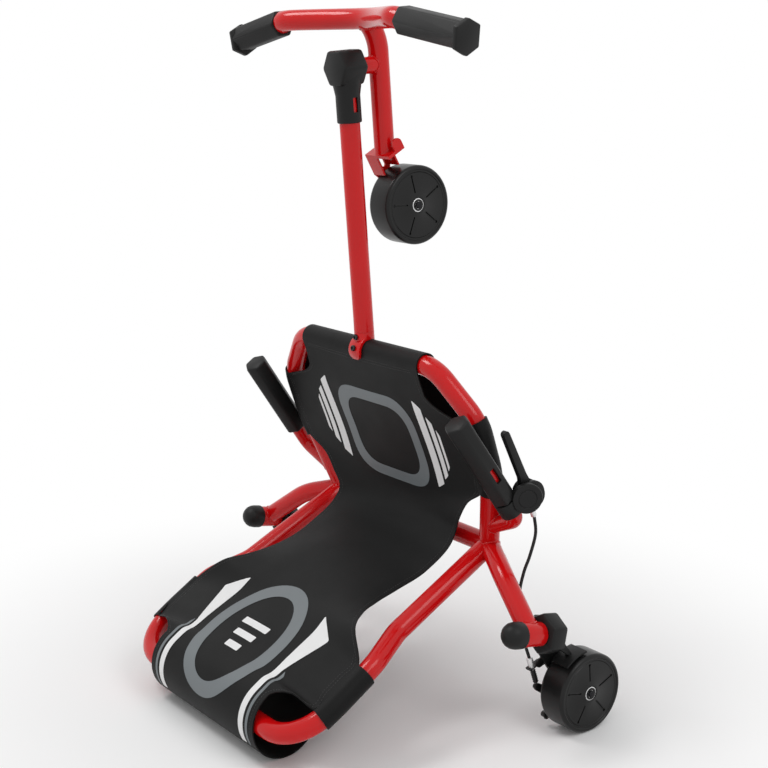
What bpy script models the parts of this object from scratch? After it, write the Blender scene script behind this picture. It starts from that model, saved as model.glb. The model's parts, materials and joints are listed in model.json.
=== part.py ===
"""Ride-on scooter with a front steering wheel, two inclined rear casters and a fabric sling seat.

The scooter is drawn as it is ridden: x to the rider's right, y forward and z up, with the ground at z = 0
below the rear wheels. One empty then stands it on its tail, where it rests on both rear wheels and on the
rolled end of the sling. All sizes are in metres.
"""
import math

import bmesh
import bpy
from mathutils import Matrix, Quaternion, Vector

# Clearances
GAP = 0.0003
RUNNING = 0.0004
SIDE_PLAY = 0.0005

# Tubes
TUBE_D = 0.0318
HANDLE_TUBE_D = 0.0254
SPIGOT_D = 0.027
SPIGOT_LENGTH = 0.060

# Wheels
WHEEL_D = 0.125
WHEEL_W = 0.050
WHEEL_STEPS = 30
FRONT_WHEEL_Y = 0.718
REAR_TRACK = 0.706
BEARING_D = 0.022
BEARING_W = 0.007
BEARING_BORE = 0.0082
AXLE_D = 0.0078
BEARING_RECESS = 0.0010
FACE_RECESS = 0.0016
RIM_LIP = 0.0022
HUB_BOSS_D = 0.032
GROOVE_COUNT = 5
GROOVE_START = 0.021
GROOVE_L = 0.028
GROOVE_W = 0.0026
GROOVE_DEPTH = 0.0016

# Seat loop: the front tube, its two corners, and the sides that fall to the cross tube
SEAT_FRONT_Y = 0.500
SEAT_FRONT_Z = 0.166
SEAT_FRONT_HALF = 0.172
SEAT_SIDE_HALF = 0.241
SEAT_SIDE_Y = 0.425
SEAT_SIDE_Z = 0.147
SEAT_REAR_HALF = 0.240
SEAT_REAR_Y = 0.335
SEAT_REAR_Z = 0.124
SEAT_BENDS = (0.060, 0.060, 0.120)

# Cross tube and its outriggers
CROSS_Y = 0.203
CROSS_Z = 0.095
NODE_HALF = 0.195
OUTRIGGER_X = 0.262
OUTRIGGER_Y = 0.186
OUTRIGGER_Z = 0.131
OUTRIGGER_BENDS = (0.050, 0.110)
OUTRIGGER_LIFT = 0.065
GUSSET_D = 0.014

# Inclined caster heads, their pins and caps
CASTER_RAKE = math.radians(15.8)
CASTER_Y = 0.105
CASTER_Z = 0.096
COLLAR_LOW = 0.016
COLLAR_H = 0.029
COLLAR_ACROSS = 0.056
HEAD_H = 0.0395
HEAD_D = 0.0365
HEAD_WALL = 0.0038
DOME_D = 0.0405
DOME_H = 0.033
DOME_WALL = 0.0035
PIN_D = 0.016
PIN_SEAT = 0.008
BUSH_H = 0.012
NUT_ACROSS = 0.024
NUT_H = 0.008

# Caster forks
ARM_T = 0.005
ARM_INSET = 0.0035
ARM_HUB_R = 0.014
ARM_TOP_R = 0.019
ARM_TOP_S = 0.024
BRIDGE_W = 0.026
BRIDGE_H = 0.018
FENDER_R = 0.0655
FENDER_T = 0.003
FENDER_W = 0.034
FENDER_ARC = math.radians(38)
WEB_T = 0.010
AXLE_HEAD_D = 0.011
AXLE_NUT_ACROSS = 0.013
AXLE_NUT_H = 0.006

# Backrest loop and its snap buttons
BACK_KINK_X = 0.205
BACK_KINK_Y = 0.122
BACK_KINK_Z = 0.294
BACK_FLARE_X = 0.232
BACK_FLARE_Y = 0.102
BACK_FLARE_Z = 0.358
BACK_CORNER_Y = 0.026
BACK_CORNER_Z = 0.505
BACK_BENDS = (0.060, 0.060, 0.068)
BACK_SEAT = 0.012
BUTTON_ALONG = 0.040
BUTTON_D = 0.008
BUTTON_PROUD = 0.0042
BUTTON_TRAVEL = 0.004
BUTTON_DEEP = 0.013

# Sling: its thickness, its hem round the front tube, its sleeves and its rolled end
CLOTH = 0.002
CLOTH_STEP = math.radians(28)
HEM_HALF = 0.151
HEM_ARC = math.radians(250)
SLEEVE_ARC = math.radians(200)
SEAT_SAG = 0.010
ROLL_R = 0.058
ROLL_HALF = 0.151
ROLL_Y = 0.020
ROLL_Z = 0.468

# Centre tube, its bracket and the steering head
CENTRE_Z = 0.167
BRACKET_SEAM_Y = 0.531
BRACKET_W = 0.028
BRACKET_T = 0.0045
BRACKET_ARC = math.radians(118)
SCREW_HEAD_D = 0.0095
SCREW_HEAD_H = 0.0035
STEER_Y = 0.939
COVER_Z = 0.1675
COVER_H = 0.045
COVER_ACROSS = 0.052
COVER_ROUND = 0.004
SLEEVE_WALL = 0.0028
SLEEVE_END_Y = 0.857
NECK_Y = 0.904
NECK_R = 0.0215
WINDOW_Y = 0.884
WINDOW_L = 0.022
WINDOW_W = 0.008
STEER_BUSH_H = 0.010
STEER_BUSH_WALL = 0.003
COVER_ROOF = 0.006
KINGPIN_D = 0.016
BOSS_D = 0.026

# Stem, foot bar and foot grips
STEM_Z = 0.104
STEM_CORNER_Y = 0.995
STEM_END_Y = 0.806
STEM_BEND = 0.030
BAR_Y = 1.008
BAR_Z = 0.125
BAR_GRIP_X = 0.153
BAR_LEAD = 0.022
BAR_GRIP_Y = 1.007
BAR_GRIP_Z = 0.173
BAR_END_X = 0.275
BAR_END_Y = 0.985
BAR_END_Z = 0.168
FOOT_GRIP_ACROSS = 0.039
FOOT_GRIP_END = 0.012
FOOT_FLANGE_H = 0.052
FOOT_FLANGE_W = 0.044
FOOT_FLANGE_T = 0.009

# Front fork
CROWN_W = 0.060
CROWN_D = 0.034
CROWN_T = 0.005
LEG_T = 0.003
LEG_W = 0.020
LEG_HUB_R = 0.013
SHORT_LEG = 0.026

# Handles and hand grips
GRIP_BASE = (0.275, 0.307, 0.130)
GRIP_END = (0.268, 0.443, 0.210)
GRIP_ACROSS = 0.036
GRIP_WALL_END = 0.006
HANDLE_ELBOW_BACK = 0.044
HANDLE_BEND = 0.024
HANDLE_FOOT = 0.27
GRIP_WINDOW_L = 0.026
GRIP_WINDOW_W = 0.009
GRIP_WINDOW_AT = 0.055

# Brake perch, lever and ferrule
PERCH_D = 0.037
PERCH_H = 0.026
BRIDGE_T = 0.014
DRUM_X = 0.288
DRUM_Y = 0.309
DRUM_Z = 0.094
DRUM_D = 0.046
DRUM_W = 0.024
LEVER_T = 0.009
LEVER_HUB_D = 0.026
LEVER_PIN_D = 0.008
LEVER_ROOT = (0.032, 0.011)
LEVER_TIP_Y = 0.412
LEVER_TIP_Z = 0.134
FERRULE_D = 0.009
FERRULE_L = 0.016
FERRULE_DROP = math.radians(15)
CABLE_D = 0.005
CABLE_LEAD = 0.004

# Drum brake in the right rear wheel
BRAKE_DRUM_D = 0.084
BRAKE_DRUM_DEEP = 0.016
BACKING_D = 0.092
BACKING_T = 0.0022
LUG_Y = -0.039
LUG_Z = 0.045
LUG_BOLT_D = 0.010
CAM_Y = -0.0127
CAM_Z = 0.0249
CAM_D = 0.008
BRAKE_ARM_Y = 0.008
BRAKE_ARM_Z = 0.0525
BRAKE_ARM_T = 0.004
SHOE_IN_R = 0.022
SHOE_OUT_R = 0.0385
SHOE_T = 0.010
SHOE_ARC = math.radians(130)
STOP_Y = 0.044
STOP_Z = 0.1245
STOP_T = 0.003
STOP_W = 0.014
STOP_FOOT_NEAR = 0.0135
STOP_FOOT_FAR = 0.030
ADJUSTER_D = 0.010
ADJUSTER_L = 0.019
BOOT_D = 0.009
BOOT_END = 0.028
WIRE_D = 0.002

ARM_X = WHEEL_W / 2 + ARM_INSET + ARM_T / 2
BLADE_X = ARM_X + ARM_T / 2 + 0.002 + BRAKE_ARM_T / 2
TUBE_R = TUBE_D / 2
WHEEL_R = WHEEL_D / 2
TRACK_HALF = REAR_TRACK / 2
WRAP_R = (TUBE_R + 2 * GAP + CLOTH / 2) / math.cos(CLOTH_STEP / 2)
SIDEWAYS = (math.pi / 2, 0, math.pi / 2)
ACROSS = (0, math.pi / 2, 0)
ACROSS_LEFT = (0, -math.pi / 2, 0)
RIGHT, LEFT = 1, -1
WORDS = {RIGHT: "right", LEFT: "left"}

# The tilt at which the rear wheels and the roll touch the floor together
roll_reach = math.hypot(ROLL_Y, ROLL_Z - WHEEL_R)
STAND_TILT = math.acos((ROLL_R - WHEEL_R) / roll_reach) - math.atan2(ROLL_Z - WHEEL_R, ROLL_Y)
STAND_HEIGHT = WHEEL_R * (1 + math.sin(STAND_TILT))
roll_front = math.sin(STAND_TILT) * ROLL_Y + math.cos(STAND_TILT) * ROLL_Z + ROLL_R
STAND_BACK = (roll_front + (math.cos(STAND_TILT) - 1) * WHEEL_R) / 2


def clear_scene():
    for old in list(bpy.data.objects):
        bpy.data.objects.remove(old, do_unlink=True)


def new_collection(name):
    collection = bpy.data.collections.new(name)
    bpy.context.scene.collection.children.link(collection)
    return collection


def finish(name, colour, roughness, metallic=0.0):
    """A Principled material from an sRGB colour."""
    material = bpy.data.materials.new(name)
    material.use_nodes = True
    shader = material.node_tree.nodes["Principled BSDF"]
    linear = [c / 12.92 if c <= 0.04045 else ((c + 0.055) / 1.055) ** 2.4 for c in colour]
    shader.inputs["Base Color"].default_value = (*linear, 1.0)
    shader.inputs["Roughness"].default_value = roughness
    shader.inputs["Metallic"].default_value = metallic
    material.diffuse_color = (*linear, 1.0)
    return material


clear_scene()
parts = new_collection("ride_on_scooter")
cutters = new_collection("cutters")

RED = finish("red_powder_coat", (0.85, 0.09, 0.09), 0.25)
BLACK_PLASTIC = finish("black_moulded_plastic", (0.13, 0.13, 0.13), 0.45)
BLACK_WHEEL = finish("black_polyurethane", (0.09, 0.09, 0.09), 0.30)
BLACK_STEEL = finish("black_steel", (0.10, 0.10, 0.10), 0.40, 0.6)
ZINC = finish("zinc_plated_steel", (0.78, 0.78, 0.78), 0.30, 1.0)
NYLON = finish("white_nylon", (0.85, 0.85, 0.82), 0.50)
RUBBER = finish("black_rubber", (0.07, 0.07, 0.07), 0.60)
FABRIC = finish("black_coated_fabric", (0.14, 0.14, 0.14), 0.60)
LINING = finish("brake_lining", (0.25, 0.20, 0.17), 0.80)


def empty(name, parent=None, location=(0, 0, 0), rotation=(0, 0, 0)):
    holder = bpy.data.objects.new(name, None)
    holder.empty_display_size = 0.02
    holder.location = location
    holder.rotation_euler = rotation
    holder.parent = parent
    parts.objects.link(holder)
    return holder


def place(thing, material, parent, location=(0, 0, 0), rotation=(0, 0, 0), collection=None):
    """Give an object its material, parent and place, and put it in its collection."""
    thing.data.materials.clear()
    thing.data.materials.append(material)
    thing.parent = parent
    thing.location = location
    thing.rotation_euler = rotation
    (collection or parts).objects.link(thing)
    return thing


def smooth(thing, angle=40):
    thing.data.shade_smooth()
    thing.data.set_sharp_from_angle(angle=math.radians(angle))
    return thing


def mirrored(points):
    return [Vector((-x, y, z)) for x, y, z in points]


def on_side(points, side):
    return [Vector((side * x, y, z)) for x, y, z in points]


def both_sides(half):
    """A path over both sides, from the points of its right half, from the outer end inward."""
    return list(half) + mirrored(reversed(half))


def bent(points, bends, step=math.radians(16)):
    """The centre line through corner points, with a round bend at each inner corner."""
    points = [Vector(point) for point in points]
    path = [points[0]]
    for corner_at, bend in zip(range(1, len(points) - 1), bends):
        corner = points[corner_at]
        back = (points[corner_at - 1] - corner).normalized()
        ahead = (points[corner_at + 1] - corner).normalized()
        inner = back.angle(ahead)
        centre = corner + (back + ahead).normalized() * bend / math.sin(inner / 2)
        arm = corner + back * bend / math.tan(inner / 2) - centre
        axis = back.cross(ahead).normalized()
        turn = inner - math.pi
        count = max(2, math.ceil(abs(turn) / step))
        path += [centre + Quaternion(axis, turn * i / count) @ arm for i in range(count + 1)]
    path.append(points[-1])
    return path


def flowing(points, spacing):
    """A smooth curve through the given points, sampled about every spacing."""
    points = [Vector(point) for point in points]
    padded = [points[0] * 2 - points[1]] + points + [points[-1] * 2 - points[-2]]
    path = []
    for a, b, c, d in zip(padded, padded[1:], padded[2:], padded[3:]):
        count = max(1, round((c - b).length / spacing))
        for i in range(count):
            t = i / count
            path.append(0.5 * (2 * b + (c - a) * t + (2 * a - 5 * b + 4 * c - d) * t ** 2
                               + (3 * b - a - 3 * c + d) * t ** 3))
    path.append(points[-1])
    return path


def lengthened(path, extra):
    """The same path, with both ends drawn out."""
    first = path[0] + (path[0] - path[1]).normalized() * extra
    last = path[-1] + (path[-1] - path[-2]).normalized() * extra
    return [first] + path[1:-1] + [last]


def crossing(path, axis, value):
    """The point where a path first meets a plane across one axis, and the path's direction there."""
    for a, b in zip(path, path[1:]):
        if (a[axis] - value) * (b[axis] - value) <= 0 and a[axis] != b[axis]:
            return a.lerp(b, (value - a[axis]) / (b[axis] - a[axis])), (b - a).normalized()
    raise ValueError("the path does not meet the plane")


def arc(centre, radius, start, end, count):
    """Points on an arc, with angles in radians."""
    angles = [start + (end - start) * i / count for i in range(count + 1)]
    return [(centre[0] + radius * math.cos(a), centre[1] + radius * math.sin(a)) for a in angles]


def circle(centre, radius, count=16):
    return arc(centre, radius, 0, math.tau * (1 - 1 / count), count - 1)


def link_outline(first, first_r, second, second_r, count=6):
    """The outline of a flat link: two round ends and the straight lines that touch both."""
    dx, dy = second[0] - first[0], second[1] - first[1]
    heading = math.atan2(dy, dx)
    lean = math.acos((first_r - second_r) / math.hypot(dx, dy))
    return (arc(second, second_r, heading - lean, heading + lean, count)
            + arc(first, first_r, heading + lean, heading + math.tau - lean, count))


def rounded_rectangle(width, height, radius, count=2):
    w, h = width / 2 - radius, height / 2 - radius
    corners = ((w, h), (-w, h), (-w, -h), (w, -h))
    quarter = math.pi / 2
    return [p for i, corner in enumerate(corners) for p in arc(corner, radius, i * quarter,
                                                               (i + 1) * quarter, count)]


def turn_to(direction):
    """The rotation that takes an object's z axis to a direction."""
    return Vector(direction).to_track_quat("Z", "Y").to_euler()


def turn_axes(x_axis, y_axis):
    """The rotation that takes an object's x and y axes to two square directions."""
    return Matrix((x_axis, y_axis, x_axis.cross(y_axis))).transposed().to_euler()


def mesh_thing(name, shape):
    mesh = bpy.data.meshes.new(name)
    shape.to_mesh(mesh)
    shape.free()
    return bpy.data.objects.new(name, mesh)


def as_mesh(thing):
    """Turn a placed curve into a welded mesh in the same place."""
    bpy.context.view_layer.update()
    name, parent, matrix = thing.name, thing.parent, thing.matrix_world.copy()
    collection = thing.users_collection[0]
    evaluated = thing.evaluated_get(bpy.context.evaluated_depsgraph_get())
    mesh = bpy.data.meshes.new_from_object(evaluated)
    bpy.data.objects.remove(thing, do_unlink=True)
    shape = bmesh.new()
    shape.from_mesh(mesh)
    bmesh.ops.remove_doubles(shape, verts=shape.verts, dist=0.00001)
    bmesh.ops.recalc_face_normals(shape, faces=shape.faces)
    shape.to_mesh(mesh)
    shape.free()
    solid = bpy.data.objects.new(name, mesh)
    collection.objects.link(solid)
    solid.parent = parent
    solid.matrix_world = matrix
    return solid


def tube(name, path, diameter, material, parent, resolution=5, collection=None):
    """A round bar along a path, from a curve with a bevel and filled caps."""
    curve = bpy.data.curves.new(name, "CURVE")
    curve.dimensions = "3D"
    spline = curve.splines.new("POLY")
    spline.points.add(len(path) - 1)
    for point, place_at in zip(spline.points, path):
        point.co = (*place_at, 1.0)
    curve.bevel_depth = diameter / 2
    curve.bevel_resolution = resolution
    curve.use_fill_caps = True
    bar = place(bpy.data.objects.new(name, curve), material, parent, collection=collection)
    return smooth(as_mesh(bar))


def plate(name, outlines, thickness, material, parent, location=(0, 0, 0), rotation=(0, 0, 0),
          collection=None):
    """A flat plate from closed outlines: the first is its edge, and the others are holes."""
    curve = bpy.data.curves.new(name, "CURVE")
    curve.dimensions = "2D"
    curve.fill_mode = "BOTH"
    curve.extrude = thickness / 2
    for outline in outlines:
        spline = curve.splines.new("POLY")
        spline.points.add(len(outline) - 1)
        for point, (x, y) in zip(spline.points, outline):
            point.co = (x, y, 0.0, 1.0)
        spline.use_cyclic_u = True
    flat = place(bpy.data.objects.new(name, curve), material, parent, location, rotation, collection)
    return as_mesh(flat)


def turned(name, profile, material, parent, location=(0, 0, 0), rotation=(0, 0, 0), steps=18,
           collection=None):
    """A solid of revolution about the object's z axis; its profile runs down the outer side."""
    mesh = bpy.data.meshes.new(name)
    last = len(profile) - 1
    edges = [(i, i + 1) for i in range(last)]
    if profile[0][0] > 0 and profile[last][0] > 0:
        edges.append((last, 0))
    mesh.from_pydata([(r, 0, z) for r, z in profile], edges, [])
    body = place(bpy.data.objects.new(name, mesh), material, parent, location, rotation, collection)
    screw = body.modifiers.new("turn", "SCREW")
    screw.steps = steps
    screw.render_steps = steps
    screw.use_merge_vertices = True
    screw.merge_threshold = 0.00001
    screw.use_smooth_shade = True
    return body


def ring(outer, inner, low, high):
    """The profile of a plain ring."""
    return [(inner, high), (outer, high), (outer, low), (inner, low)]


def spool(outer, inner, low, high, land):
    """The profile of a sleeve bushing that seats on a land at each end and is relieved between them."""
    waist = (outer + inner) / 2
    return [(inner, high), (outer, high), (outer, high - land), (waist, high - land - 0.001),
            (waist, low + land + 0.001), (outer, low + land), (outer, low), (inner, low)]


def prism(name, sides, radius, low, high, material, parent, location=(0, 0, 0), rotation=(0, 0, 0), turn=0,
          collection=None):
    """A regular prism along the object's z axis, between two heights."""
    shape = bmesh.new()
    lift = Matrix.Translation((0, 0, (low + high) / 2)) @ Matrix.Rotation(turn, 4, "Z")
    bmesh.ops.create_cone(shape, cap_ends=True, segments=sides, radius1=radius, radius2=radius,
                          depth=high - low, matrix=lift)
    return place(mesh_thing(name, shape), material, parent, location, rotation, collection)


def rod(name, diameter, low, high, material, parent, location=(0, 0, 0), rotation=(0, 0, 0), sides=20,
        collection=None):
    """A round bar along the object's z axis, between two heights."""
    bar = prism(name, sides, diameter / 2, low, high, material, parent, location, rotation, 0, collection)
    return smooth(bar)


def box(name, size, material, parent, location=(0, 0, 0), rotation=(0, 0, 0), collection=None):
    shape = bmesh.new()
    bmesh.ops.create_cube(shape, size=1, matrix=Matrix.Diagonal((*size, 1)))
    return place(mesh_thing(name, shape), material, parent, location, rotation, collection)


def rounded(thing, width, segments=2):
    bevel = thing.modifiers.new("edges", "BEVEL")
    bevel.width = width
    bevel.segments = segments
    bevel.limit_method = "ANGLE"
    bevel.angle_limit = math.radians(30)
    return thing


def combine(thing, other, operation):
    other.hide_render = True
    other.display_type = "WIRE"
    boolean = thing.modifiers.new(operation.lower() + "_" + other.name, "BOOLEAN")
    boolean.operation = operation
    boolean.object = other
    boolean.solver = "EXACT"
    return thing


def cut(thing, other):
    return combine(thing, other, "DIFFERENCE")


def join(thing, other):
    return combine(thing, other, "UNION")


def cope(thing, path, diameter, parent):
    """Notch a piece to a tube's outside, with the standard gap."""
    notch = tube(thing.name + "_notch_" + str(len(thing.modifiers)), path, diameter + 2 * GAP, RED, parent,
                 collection=cutters)
    return cut(thing, notch)


def bore(thing, diameter, low, high, location, rotation, sides=24):
    """Drill a round hole with the standard gap about what it holds."""
    name = thing.name + "_bore_" + str(len(thing.modifiers))
    drill = rod(name, diameter + 2 * GAP, low, high, RED, thing.parent, location, rotation, sides, cutters)
    return cut(thing, drill)


stand = empty("scooter", None, (0, STAND_BACK, STAND_HEIGHT), (math.pi / 2 + STAND_TILT, 0, 0))

# Centre lines of the frame's tubes
node_right = Vector((NODE_HALF, CROSS_Y, CROSS_Z))
seat_rear = Vector((SEAT_REAR_HALF, SEAT_REAR_Y, SEAT_REAR_Z))
seat_side = Vector((SEAT_SIDE_HALF, SEAT_SIDE_Y, SEAT_SIDE_Z))
seat_front = Vector((SEAT_FRONT_HALF, SEAT_FRONT_Y, SEAT_FRONT_Z))
seat_path = bent(both_sides([node_right, seat_rear, seat_side, seat_front]), SEAT_BENDS[::-1] + SEAT_BENDS)

caster_up = Vector((0, math.sin(CASTER_RAKE), math.cos(CASTER_RAKE)))
caster_foot = Vector((TRACK_HALF, CASTER_Y, CASTER_Z))
HEAD_LOW = COLLAR_LOW + COLLAR_H + SIDE_PLAY
HEAD_HIGH = HEAD_LOW + HEAD_H
outrigger_end = caster_foot + caster_up * OUTRIGGER_LIFT
outrigger_bend = Vector((OUTRIGGER_X, OUTRIGGER_Y, OUTRIGGER_Z))
cross_path = bent(both_sides([outrigger_end, outrigger_bend, node_right]),
                  OUTRIGGER_BENDS[::-1] + OUTRIGGER_BENDS)

back_kink = Vector((BACK_KINK_X, BACK_KINK_Y, BACK_KINK_Z))
back_flare = Vector((BACK_FLARE_X, BACK_FLARE_Y, BACK_FLARE_Z))
back_corner = Vector((BACK_FLARE_X, BACK_CORNER_Y, BACK_CORNER_Z))
back_up = (back_kink - node_right).normalized()
back_foot = node_right + back_up * BACK_SEAT
back_path = bent(both_sides([back_foot, back_kink, back_flare, back_corner]), BACK_BENDS + BACK_BENDS[::-1])

grip_base = Vector(GRIP_BASE)
grip_end = Vector(GRIP_END)
grip_way = (grip_end - grip_base).normalized()
handle_foot = node_right.lerp(seat_rear, HANDLE_FOOT)
handle_elbow = grip_base - grip_way * HANDLE_ELBOW_BACK
handle_tip = grip_end - grip_way * GRIP_WALL_END

steering = empty("steering_axis", stand, (0, STEER_Y, 0))
bar_right = [Vector((BAR_END_X, BAR_END_Y - STEER_Y, BAR_END_Z)),
             Vector((BAR_GRIP_X, BAR_GRIP_Y - STEER_Y, BAR_GRIP_Z))]
bar_lead = bar_right[1] + (bar_right[1] - bar_right[0]).normalized() * BAR_LEAD
bar_middle = Vector((0, BAR_Y - STEER_Y, BAR_Z))
bar_half = bar_right + [bar_lead]
bar_path = flowing(bar_half + [bar_middle] + mirrored(reversed(bar_half)), 0.034)


def build_frame():
    """Cross tube, seat loop and backrest loop, with what is welded to them."""
    cross = tube("cross_tube", cross_path, TUBE_D, RED, stand)
    seat = tube("seat_loop_tube", seat_path, TUBE_D, RED, stand)
    cope(seat, cross_path, TUBE_D, stand)
    back = tube("backrest_loop_tube", back_path, TUBE_D, RED, stand)
    cope(back, cross_path, TUBE_D, stand)
    cope(back, seat_path, TUBE_D, stand)
    for side in (RIGHT, LEFT):
        build_spigot(side, back)
        build_gusset(side, cross)
        build_head(side, cross)
        build_handle(side)
        build_hand_grip(side)


def build_spigot(side, back):
    """The spigot on the cross tube that an end of the backrest loop slides over, with its snap button."""
    word = WORDS[side]
    foot, up = on_side([node_right, back_up], side)
    turn = turn_to(up)
    spigot = rod("backrest_spigot_" + word, SPIGOT_D, BACK_SEAT / 2, SPIGOT_LENGTH, ZINC, stand, foot, turn,
                 24)
    cope(spigot, cross_path, TUBE_D, stand)
    cope(spigot, seat_path, TUBE_D, stand)
    bore(back, SPIGOT_D, -0.01, SPIGOT_LENGTH + 0.002, foot, turn, 24)
    rearward = Vector((0, -up.z, up.y)).normalized()
    centre = foot + up * BUTTON_ALONG
    for piece in (spigot, back):
        bore(piece, BUTTON_D, SPIGOT_D / 2 - BUTTON_DEEP, TUBE_R + 0.01, centre, turn_to(rearward), 20)
    slide = empty("snap_button_slide_" + word, stand, centre, turn_to(rearward))
    r = BUTTON_D / 2
    low = SPIGOT_D / 2 - BUTTON_DEEP + BUTTON_TRAVEL + GAP
    high = TUBE_R + BUTTON_PROUD
    profile = [(0, high), (r * 0.6, high - 0.0006), (r * 0.92, high - 0.0016), (r, high - 0.003), (r, low),
               (0, low)]
    turned("snap_button_" + word, profile, ZINC, slide, steps=16)


def build_gusset(side, cross):
    """The stiffening rib welded along the underside of an outrigger."""
    drop = (outrigger_end - outrigger_bend).cross(Vector((1, 0, 0))).normalized() * TUBE_R
    if drop.z > 0:
        drop.negate()
    start = node_right.lerp(outrigger_bend, 0.4)
    end = outrigger_bend.lerp(outrigger_end, 0.66)
    rib = [point + drop for point in bent([start, outrigger_bend, end], OUTRIGGER_BENDS[1:])]
    join(cross, tube("outrigger_gusset_" + WORDS[side], on_side(rib, side), GUSSET_D, RED, stand, 4,
                     cutters))


def build_head(side, cross):
    """The inclined tube at the end of an outrigger, with its bushings and its dome cap."""
    word = WORDS[side]
    foot = on_side([caster_foot], side)[0]
    head = empty("caster_head_axis_" + word, stand, foot, (-CASTER_RAKE, 0, 0))
    bore(cross, HEAD_D, HEAD_LOW - 0.02, HEAD_HIGH + 0.02, foot, (-CASTER_RAKE, 0, 0), 28)
    bore(cross, DOME_D, HEAD_HIGH, HEAD_HIGH + 0.02, foot, (-CASTER_RAKE, 0, 0), 28)
    inner = HEAD_D / 2 - HEAD_WALL
    outer = HEAD_D / 2
    turned("caster_head_" + word,
           [(inner, HEAD_HIGH), (outer - 0.001, HEAD_HIGH), (outer, HEAD_HIGH - 0.001),
            (outer, HEAD_LOW + 0.001), (outer - 0.001, HEAD_LOW), (inner, HEAD_LOW)],
           RED, head, steps=24)
    turned("caster_bushing_" + word, spool(inner - GAP, PIN_D / 2 + RUNNING, HEAD_LOW, HEAD_HIGH, BUSH_H),
           NYLON, head,
           steps=14)
    r = DOME_D / 2
    hollow = r - DOME_WALL
    low = HEAD_HIGH + GAP
    top = low + DOME_H
    turned("caster_dome_cap_" + word,
           [(0, top)] + [(y, z) for z, y in arc((top - r, 0), r, math.radians(20), math.pi / 2, 4)]
           + [(r, low + 0.001), (r - 0.001, low), (hollow, low), (hollow, top - r)]
           + [(hollow * 0.7, top - r + hollow * 0.714), (0, top - DOME_WALL)],
           BLACK_PLASTIC, head, steps=20)


def build_handle(side):
    word = WORDS[side]
    foot, elbow, tip = on_side([handle_foot, handle_elbow, handle_tip], side)
    handle = tube("handle_tube_" + word, bent([foot, elbow, tip], (HANDLE_BEND,)), HANDLE_TUBE_D, RED,
                  stand)
    cope(handle, cross_path, TUBE_D, stand)
    cope(handle, seat_path, TUBE_D, stand)
    spigot_foot, up = on_side([node_right, back_up], side)
    bore(handle, TUBE_D, -0.02, SPIGOT_LENGTH + 0.02, spigot_foot, turn_to(up), 28)


def build_hand_grip(side):
    """A six-sided grip with a blind bore and a window that shows the tube."""
    base, end = on_side([grip_base, grip_end], side)
    way = (end - base).normalized()
    length = (end - base).length
    turn = turn_to(way)
    grip = prism("hand_grip_" + WORDS[side], 6, GRIP_ACROSS / math.sqrt(3), 0, length, BLACK_PLASTIC, stand,
                 base, turn)
    rounded(grip, 0.004)
    bore(grip, HANDLE_TUBE_D, -0.01, length - GRIP_WALL_END + GAP, base, turn)
    middle = base + way * GRIP_WINDOW_AT + Vector((side * GRIP_ACROSS / 2, 0, 0))
    cut(grip, box("grip_window_" + WORDS[side], (GRIP_ACROSS / 2, GRIP_WINDOW_W, GRIP_WINDOW_L),
                  BLACK_PLASTIC, stand,
                  middle, turn, cutters))


def sling_hem():
    """Rows of the hem round the front tube, from its free edge under the tube to the top."""
    slope = (SEAT_FRONT_Z - SEAT_SIDE_Z) / (SEAT_FRONT_Y - SEAT_SIDE_Y)
    leave = math.pi / 2 + math.atan(slope)
    count = round(HEM_ARC / CLOTH_STEP)
    ends = arc((SEAT_FRONT_Y, SEAT_FRONT_Z), WRAP_R, leave - HEM_ARC, leave, count)
    return [sling_row((y, z), (HEM_HALF, y, z)) for y, z in ends]


def sling_height(y):
    """The height of the cloth where it lies straight from side tube to side tube."""
    if y > SEAT_SIDE_Y:
        slope = (SEAT_FRONT_Z - SEAT_SIDE_Z) / (SEAT_FRONT_Y - SEAT_SIDE_Y)
        return SEAT_FRONT_Z - slope * (SEAT_FRONT_Y - y) + WRAP_R * math.hypot(1, slope)
    return crossing(seat_path, 1, y)[0].z + WRAP_R


def sling_row(middle, edge, bow=2.0, columns=4):
    """One row of the cloth's right half, bowed between the middle line and the edge."""
    row = []
    for i in range(columns + 1):
        share = i / columns
        lift = share ** bow
        row.append(Vector((edge[0] * share, middle[0] + (edge[1] - middle[0]) * lift,
                           middle[1] + (edge[2] - middle[1]) * lift)))
    return row


def sleeve(path, axis, value, face):
    """Points round a tube from the side it faces over its outer side, where the cloth is sewn to a sleeve."""
    centre, way = crossing(path, axis, value)
    up = (face - way * face.dot(way)).normalized()
    out = up.cross(way)
    if out.x < 0:
        out.negate()
    count = round(SLEEVE_ARC / CLOTH_STEP)
    start = math.radians(97)
    ends = arc((0, 0), WRAP_R + GAP, start, start - SLEEVE_ARC, count)
    return [centre + out * x + up * z for x, z in ends]


# Seat rows: distance behind the front tube in the middle and at the edge, and the edge's half width
SEAT_ROWS = ((0.022, 0.015, 0.1500), (0.042, 0.036, 0.1515), (0.060, 0.053, 0.1580), (0.071, 0.066, 0.1830))
# Sleeve rows: distance behind the front tube in the middle and at the side tube
SLEEVE_ROWS = ((0.080, 0.076), (0.091, 0.0885), (0.104, 0.101), (0.130, 0.125), (0.160, 0.151),
               (0.186, 0.172),
               (0.212, 0.194))
# Free rows of the waist and the lower backrest: forward and up in the middle;
# half width, forward and up at the edge
FREE_ROWS = (((0.267, 0.116), (0.190, 0.280, 0.1305)), ((0.245, 0.114), (0.168, 0.250, 0.130)),
             ((0.224, 0.119), (0.156, 0.226, 0.1285)), ((0.207, 0.141), (0.1555, 0.204, 0.142)),
             ((0.188, 0.186), (0.1555, 0.176, 0.192)), ((0.171, 0.2415), (0.1515, 0.161, 0.245)),
             ((0.155, 0.290), (0.1555, 0.1545, 0.292)), ((0.143, 0.322), (0.165, 0.151, 0.325)),
             ((0.131, 0.348), (0.187, 0.144, 0.356)))
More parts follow.
